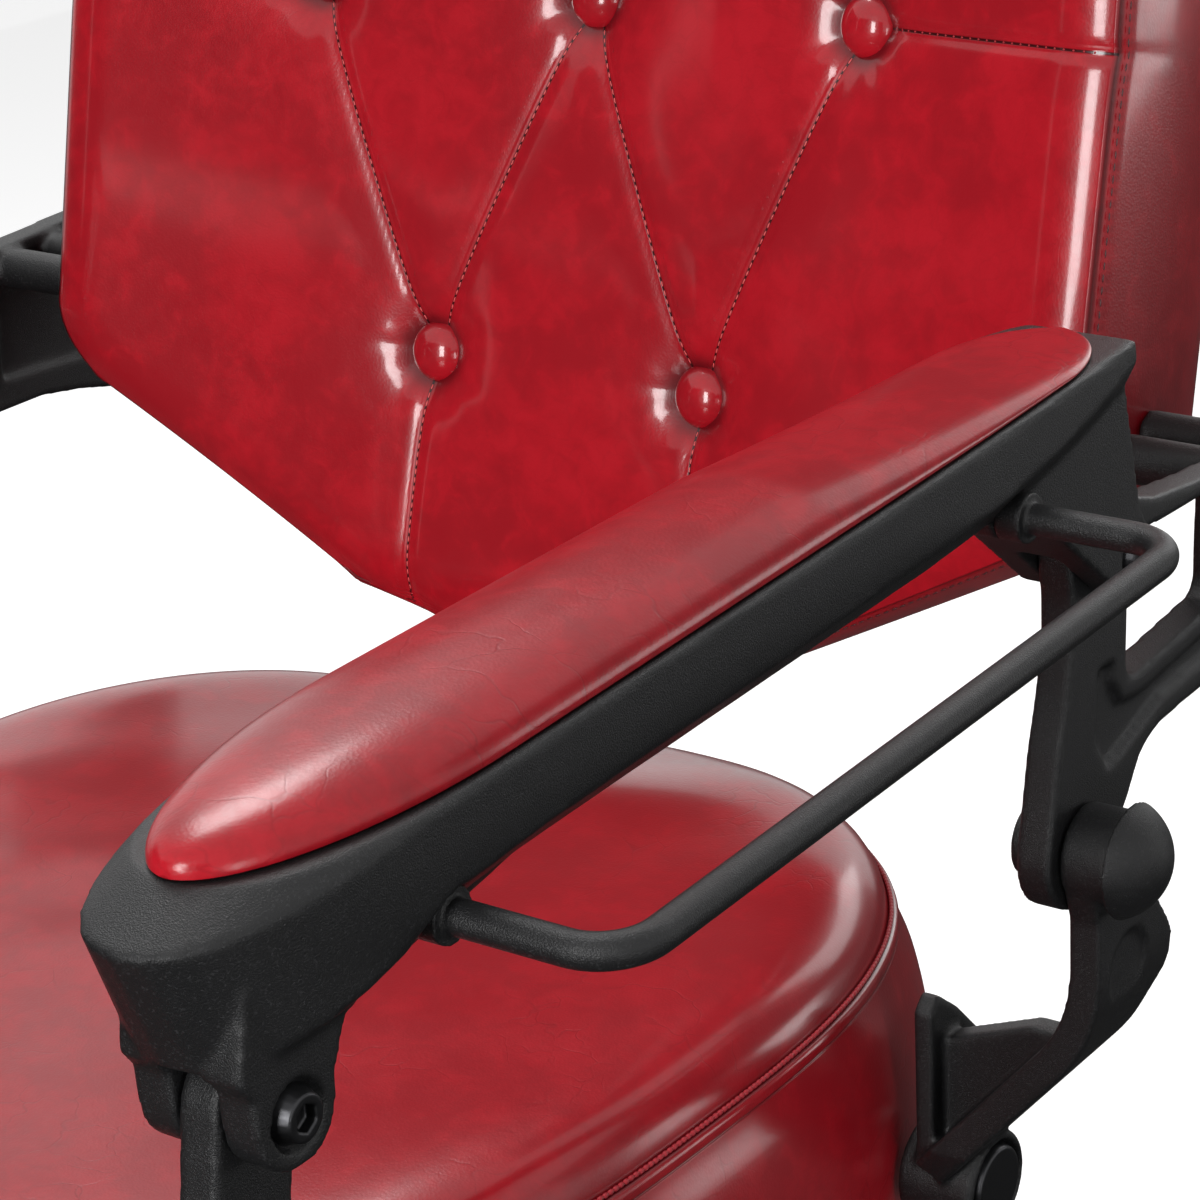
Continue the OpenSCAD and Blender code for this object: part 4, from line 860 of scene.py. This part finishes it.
def makeBack():
    s = backSet
    lower = np.linspace(-s["drop"], s["fineTo"], s["lowerRows"])
    vs = np.concatenate([lower[:-1], np.linspace(s["fineTo"], s["top"], s["upperRows"])])
    rows, columns = len(vs), s["columns"]
    x = backSide(vs)[:, None] * np.linspace(-1, 1, columns)
    v = np.repeat(vs[:, None], columns, 1)
    outline = backOutline()
    depth = backFront(x, v, edgeDistance(x, v, outline))
    front = np.stack([x, depth, v], -1).reshape(-1, 3)
    index = np.arange(rows * columns).reshape(rows, columns)
    rimIndex = np.concatenate([index[0, :-1], index[:-1, -1], index[-1, :0:-1], index[:0:-1, 0]])
    rim = front[rimIndex]
    outward = outwardFrom(rim)
    loops = [bandLoop(rim, outward, share, out) for share, out in backBand]
    # The rear face closes from the tuck towards its middle
    tuck = loops[-1]
    for n in range(1, s["rearLoops"] + 1):
        keep = 1 - (n / (s["rearLoops"] + 1)) ** 0.9
        z = s["rearMiddle"] + (tuck[:, 2] - s["rearMiddle"]) * keep
        loops.append(np.stack([tuck[:, 0] * keep, backRear(z), z], -1))
    everything = np.concatenate([front, *loops, [[0, s["thickness"], s["rearMiddle"]]]])
    count, start, tip = len(rim), len(front), len(everything) - 1
    faces = [(a, a + columns, a + columns + 1, a + 1) for a in index[:-1, :-1].ravel().tolist()]
    rings = [rimIndex] + [start + n * count + np.arange(count) for n in range(len(loops))]
    for a, b in zip(rings[:-1], rings[1:]):
        faces += np.stack([a, np.roll(a, -1), np.roll(b, -1), b], -1).tolist()
    faces += [(i, j, tip) for i, j in zip(rings[-1].tolist(), np.roll(rings[-1], -1).tolist())]
    piece = meshPiece("back_upholstery", fromBack(everything), faces, "backLeather")
    # Painted shade: dark rings round the buttons, along the front's rim and in the sewn groove of the side band
    paintedShade = np.zeros(len(everything))
    paintedShade[:start] = buttonShadeAmount(x, v).ravel()
    paintedShade[rimIndex] = np.maximum(paintedShade[rimIndex], 0.8)
    paintedShade[start : start + 2 * count] = 0.9
    addAttribute(piece, "paintedShade", paintedShade)
    aside, near = np.full(len(everything), 6.0), np.zeros(len(everything))
    aside[:start], near[:start] = (part.ravel() for part in pleatAside(x, v))
    addAttribute(piece, "pleatAside", aside)
    addAttribute(piece, "pleatNear", near)
    fixNormals(piece)
    attach(piece, "back", "red_leather", "back_cushion")
    makeBackStitches(rim, outward, outline)


# Top stitching behind the seam, and the stitches of the pleats between their ends
def makeBackStitches(rim, outward, outline):
    s = backSet
    behind, out = s["topStitch"]
    line = bandLoop(rim, outward, behind / (backRear(rim[:, 2]) - rim[:, 1]), out)
    stitch("back_seam_stitches", [fromBack(line)], "back", "darkThread", "top")
    level, sloping = [], []
    for (ax, av), (bx, bv) in pleatLines():
        length = math.hypot(bx - ax, bv - av)
        atButton = abs(bv) <= s["buttonRow"] and abs(bx) < 200
        endGap = s["buttonGap"] if atButton else s["edgeGap"]
        t = np.linspace(s["buttonGap"] / length, 1 - endGap / length, 60)
        px, pv = ax + t * (bx - ax), av + t * (bv - av)
        depth = backFront(px, pv, edgeDistance(px, pv, outline))
        (level if av == bv else sloping).append(fromBack(np.stack([px, depth + 0.1, pv], -1)))
    stitch("pleat_stitches", level, "back", "pleatThread", "pleat")
    # The sloping pleats' stitches get the lighter thread, a painted highlight
    stitch("fold_stitches", sloping, "back", "highlitFoldThread", "fold")


buttonSet = {
    "radius": 13,
    "height": 9.5,
    "proud": 1.5,  # how far the rim stands above the bottom of its pit
    "around": 40,
    # From the middle over the dome and under the rim: (share of the radius, share of the height)
    "dome": [(0.25, 0.975), (0.5, 0.88), (0.7, 0.73), (0.86, 0.52), (0.96, 0.30), (1.0, 0.12), (0.99, -0.05),
             (0.93, -0.22), (0.80, -0.35)],
}


# Covered buttons: low domes with a tucked rim, turned to the slope of the back
def makeButtons():
    s = buttonSet
    count, height = s["around"], s["height"]
    turn = np.linspace(0, 2 * math.pi, count, endpoint=False)
    rings = [
        np.stack([s["radius"] * r * np.cos(turn), np.full(count, -height * h), s["radius"] * r * np.sin(turn)], -1)
        for r, h in s["dome"]
    ]
    dome = np.vstack([*rings, [[0, -height, 0], [0, 2, 0]]])
    points, faces = [], []
    for bx, bv in buttonPlaces:
        faces += skinFaces(len(rings), count, len(points) * len(dome))
        slope = math.atan(2 * backSet["wrap"] * bx / backSet["halfWidth"] ** 2)
        base = backSet["pit"] + backSet["pleat"] - s["proud"] - backSet["wrap"] * (bx / backSet["halfWidth"]) ** 2
        c, sn = math.cos(slope), math.sin(slope)
        x, y, z = dome.T
        points.append(np.stack([bx + x * c + y * sn, base - x * sn + y * c, bv + z], -1))
    piece = meshPiece("covered_buttons", fromBack(np.vstack(points)), faces, "buttonLeather")
    fixNormals(piece)
    attach(piece, "back", "red_leather", "back_buttons")


# Seat

seatSet = {
    "halfWidth": 228,
    "halfDepth": 246,
    "square": 2.85,  # power of the outline's curve, where 2 gives an ellipse
    "seam": 507,
    "low": 384,
    "swell": 10.7,
    "crown": 30,
    "cord": (2.4, 5.5),  # inset and rise from the seam
    # Hollows that the back's lower edge sinks into: depth, place, reach across and along
    "hollows": ((6, 235, 95, 60), (7.6, 220, 85, 32)),
    "sideRows": 34,
    "crownRows": 44,
    "around": 260,
}
# Up the side to the seam: (share of the swell, share of the side's height)
seatSide = [(-1.1, 0), (-0.4, 0.025), (0.22, 0.1), (0.74, 0.25), (1, 0.45), (0.9, 0.66), (0.55, 0.84),
            (0.18, 0.94), (0.05, 0.975)]
# Over the seam line, the flat strip and the groove of the cord: (out, up, painted shade)
seatSeam = [(0.15, -1.7, 0), (0.0, -1.2, 0.3), (-0.7, -0.8, 1), (0.0, -0.4, 0.3), (0.2, 0.1, 0), (0.1, 2.0, 0),
            (-0.4, 3.7, 0), (-0.9, 4.2, 0.5), (-1.7, 4.5, 1), (-2.6, 4.7, 1), (-3.4, 5.2, 1), (-3.8, 6.0, 0.5),
            (-4.1, 7.2, 0)]
# From the cord to the middle: (inset, share of the crown's height)
seatCrown = [(4.6, 0.34), (5.8, 0.44), (8, 0.57), (12, 0.71), (18, 0.83), (27, 0.915), (42, 0.965), (70, 0.99),
             (120, 1), (200, 1)]


# Points on a rounded square
def superPoint(rx, ry, n, t):
    c, s = np.cos(t), np.sin(t)
    return rx * np.sign(c) * np.abs(c) ** (2 / n), ry * np.sign(s) * np.abs(s) ** (2 / n)


# Smooth curve through (a, b) knots, evenly spaced along its length
def smoothCurve(knots, count):
    knots = np.asarray(knots, float)
    padded = np.vstack([2 * knots[0] - knots[1], knots, 2 * knots[-1] - knots[-2]])
    fine = []
    for i in range(1, len(padded) - 2):
        p0, p1, p2, p3 = padded[i - 1 : i + 3]
        for t in np.linspace(0, 1, 24, endpoint=False):
            fine.append(0.5 * (2 * p1 + (p2 - p0) * t + (2 * p0 - 5 * p1 + 4 * p2 - p3) * t * t
                               + (3 * p1 - p0 - 3 * p2 + p3) * t ** 3))
    fine = np.vstack([fine, knots[-1]])
    run = np.concatenate([[0], np.cumsum(np.linalg.norm(np.diff(fine, axis=0), axis=1))])
    at = np.linspace(0, run[-1], count)
    return np.stack([np.interp(at, run, fine[:, k]) for k in range(fine.shape[1])], -1)


# The seat's section from its lower edge to its middle: (out, height)
def seatProfile():
    s = seatSet
    side = [(share * s["swell"], s["low"] + up * (s["seam"] - s["low"])) for share, up in seatSide]
    seam = [(out, s["seam"] + up) for out, up, dark in seatSeam]
    crown = [(-inset, s["seam"] + share * s["crown"]) for inset, share in seatCrown]
    return np.vstack([smoothCurve(side, s["sideRows"]), seam, smoothCurve([seam[-1]] + crown, s["crownRows"])[1:]])


# A loop of points round the seat at a distance out from its outline
def seatLoop(out, z, turn):
    x, y = superPoint(seatSet["halfWidth"] + out, seatSet["halfDepth"] + out, seatSet["square"], turn)
    return np.stack([x, y, np.full(len(turn), z)], -1)


def makeSeat():
    s = seatSet
    profile, count = seatProfile(), s["around"]
    turn = np.linspace(0, 2 * math.pi, count, endpoint=False)
    points = np.array([seatLoop(out, z, turn) for out, z in profile])
    x, y, z = points[..., 0], points[..., 1], points[..., 2]
    top = np.clip((z - s["seam"] - 6) / (s["crown"] - 6), 0, 1)
    wave = 0.63 * np.sin(x / 31 + 1.3 * np.sin(y / 57)) + 0.56 * np.sin(y / 43 + x / 90 + 1)
    z += (wave + 0.35 * np.sin((x - y) / 19)) * top
    for depth, place, across, along in s["hollows"]:
        z -= depth * top * np.exp(-((x / across) ** 2) - ((y - place) / along) ** 2)
    flat = np.vstack([points.reshape(-1, 3), [[0, 0, s["low"]], [0, 0, s["seam"] + s["crown"] + 0.3]]])
    piece = meshPiece("seat_upholstery", flat * mm, skinFaces(len(profile), count), "seatLeather")
    # Painted shade in the seam's groove and in the cord's groove
    paintedShade = np.zeros(len(flat))
    seamStart = s["sideRows"] * count
    paintedShade[seamStart : seamStart + len(seatSeam) * count] = np.repeat([dark for out, up, dark in seatSeam], count)
    addAttribute(piece, "paintedShade", paintedShade)
    fixNormals(piece)
    attach(piece, "seat", "red_leather", "seat_cushion")
    inset, rise = s["cord"]
    cord = seatLoop(-inset, s["seam"] + rise, np.linspace(0, 2 * math.pi, 400))
    stitch("seat_seam_cord", [cord * mm], "seat", "cordThread", "cord")


# Armrest pads

armSet = {
    "middle": 305,
    "rearPin": (115, 696),
    "rise": 2.2,
    "leanFrom": -100,
    "noseRoot": -378,
    "lean": 3,
    "rearHalf": 25,
    "frontHalf": 35,
    "widenFrom": -6,
    "rim": 2.7,
    "front": -440,
    "rear": -10,
    "noseLength": 95,
    "tailLength": 42,
    "top": 77.5,
    "height": 15,
    "thinFrom": -190,
    "thinning": 0.92,
    "lift": 0.9,  # the pad's edge above its tray
    "rows": 170,
    "around": 64,
}


# Arm frame (x, along, up) in mm to metres in the chair's frame
def fromArm(points, side):
    points = np.asarray(points, float)
    x, y, z = points[..., 0], points[..., 1], points[..., 2]
    a = math.radians(armSet["rise"])
    py, pz = armSet["rearPin"]
    return np.stack([
        side * (armSet["middle"] + x), py + y * math.cos(a) - z * math.sin(a), pz + y * math.sin(a) + z * math.cos(a)
    ], -1) * mm


# Share of the way from one place along the arm to another
def partOf(y, start, end):
    return np.clip((y - start) / (end - start), 0, 1)


def armMiddle(y):
    return -armSet["lean"] * partOf(y, armSet["leanFrom"], armSet["noseRoot"])


def padHalf(y):
    s = armSet
    widening = partOf(y, s["widenFrom"], s["noseRoot"]) ** 0.6
    arm = s["rearHalf"] + (s["frontHalf"] - s["rearHalf"]) * widening
    nose = 1 - partOf(y, s["front"], s["front"] + s["noseLength"])
    tail = partOf(y, s["rear"] - s["tailLength"], s["rear"])
    return (arm - s["rim"]) * np.sqrt(1 - nose ** 2) * np.sqrt(1 - tail ** 2)


def padHeight(y):
    s = armSet
    share = padHalf(y) / (s["frontHalf"] - s["rim"])
    return s["height"] * share ** 0.7 * (1 - s["thinning"] * partOf(y, s["thinFrom"], s["rear"]) ** 0.9)


def makePad(side, name, body, node):
    s = armSet
    rows, count = s["rows"], s["around"]
    y = s["front"] + 0.2 + (s["rear"] - s["front"] - 0.4) * (0.5 - 0.5 * np.cos(np.linspace(0, math.pi, rows)))
    turn = np.linspace(0, 2 * math.pi, count, endpoint=False)
    c, sn = np.cos(turn), np.sin(turn)
    half = np.maximum(padHalf(y), 0.4)[:, None]
    height = np.maximum(padHeight(y), 0.7)[:, None]
    x = armMiddle(y)[:, None] + half * np.sign(c) * np.abs(c) ** 0.86
    up = np.where(sn > 0, height * np.abs(sn) ** 0.92, -0.4 * np.abs(sn) ** 0.5)
    rings = np.stack([x, np.repeat(y[:, None], count, 1), s["top"] + s["lift"] + up], -1)
    flat = np.vstack([rings.reshape(-1, 3), rings[0].mean(0), rings[-1].mean(0)])
    piece = meshPiece(name, fromArm(flat, side), skinFaces(rows, count), "padLeather")
    fixNormals(piece)
    attach(piece, body, "red_leather", node)


# Simulated pads


pillowSet = {"voxel": 5, "pressure": 4, "quality": 5, "frames": 20, "easing": 4, "held": 6}


# A pad blown up as cloth from its CAD solid, no further than the cap, held flat where it meets its board
def inflate(name, node, body, cap, lean):
    s = pillowSet
    piece = cadCopy(name, node, "padLeather")
    remesh = piece.modifiers.new("remesh", "REMESH")
    remesh.mode = "VOXEL"
    remesh.voxel_size = s["voxel"] * mm
    bake(piece)
    start = places(piece.data)
    group = piece.vertex_groups.new(name="held")
    group.add(atRear(start, lean).tolist(), 1.0, "REPLACE")
    cloth = piece.modifiers.new("cloth", "CLOTH")
    cloth.settings.quality = s["quality"]
    cloth.settings.use_pressure = True
    cloth.settings.uniform_pressure_force = s["pressure"]
    cloth.settings.effector_weights.gravity = 0
    cloth.settings.vertex_group_mass = "held"
    cloth.point_cache.frame_end = s["frames"]
    for step in range(1, s["frames"] + 1):
        bpy.context.scene.frame_set(step)
    depsgraph = bpy.context.evaluated_depsgraph_get()
    move = places(piece.evaluated_get(depsgraph).to_mesh()) - start
    length = np.linalg.norm(move, axis=1, keepdims=True)
    start = start + move * np.minimum(1, cap * mm / np.maximum(length, 1e-9))
    piece.modifiers.clear()
    piece.data.vertices.foreach_set("co", start.ravel())
    bpy.context.scene.frame_set(1)
    ease = piece.modifiers.new("ease", "SMOOTH")
    ease.factor, ease.iterations = 0.5, s["easing"]
    finer = piece.modifiers.new("finer", "SUBSURF")
    finer.levels = finer.render_levels = 1
    bake(piece)
    piece.data.materials.clear()
    piece.data.materials.append(finishes["padLeather"])
    piece.data.shade_smooth()
    attach(piece, body, "red_leather", node)


def places(mesh):
    flat = np.empty(len(mesh.vertices) * 3)
    mesh.vertices.foreach_get("co", flat)
    return flat.reshape(-1, 3)


# Indices of the points near the rearmost plane, which leans like the back or the posts
def atRear(points, lean):
    along = points @ np.array([0, math.cos(lean), -math.sin(lean)])
    return np.nonzero(along > along.max() - pillowSet["held"] * mm)[0]


postLean = math.radians(7.67)
makeBack()
makeButtons()
print("back ready")
makeSeat()
print("seat ready")
makePad(1, "arm_pad_left", "arm_left", "armrest_pad_left")
makePad(-1, "arm_pad_right", "arm_right", "armrest_pad_right")
inflate("headrest_pillow", "headrest_cushion", "headrest", 9, backTilt)
inflate("calf_pillow", "calf_pad", "legrest", 8, -postLean)
trim("back_panel_form", "back_panel", "back", "padLeather", 2.0)
print("pads ready")
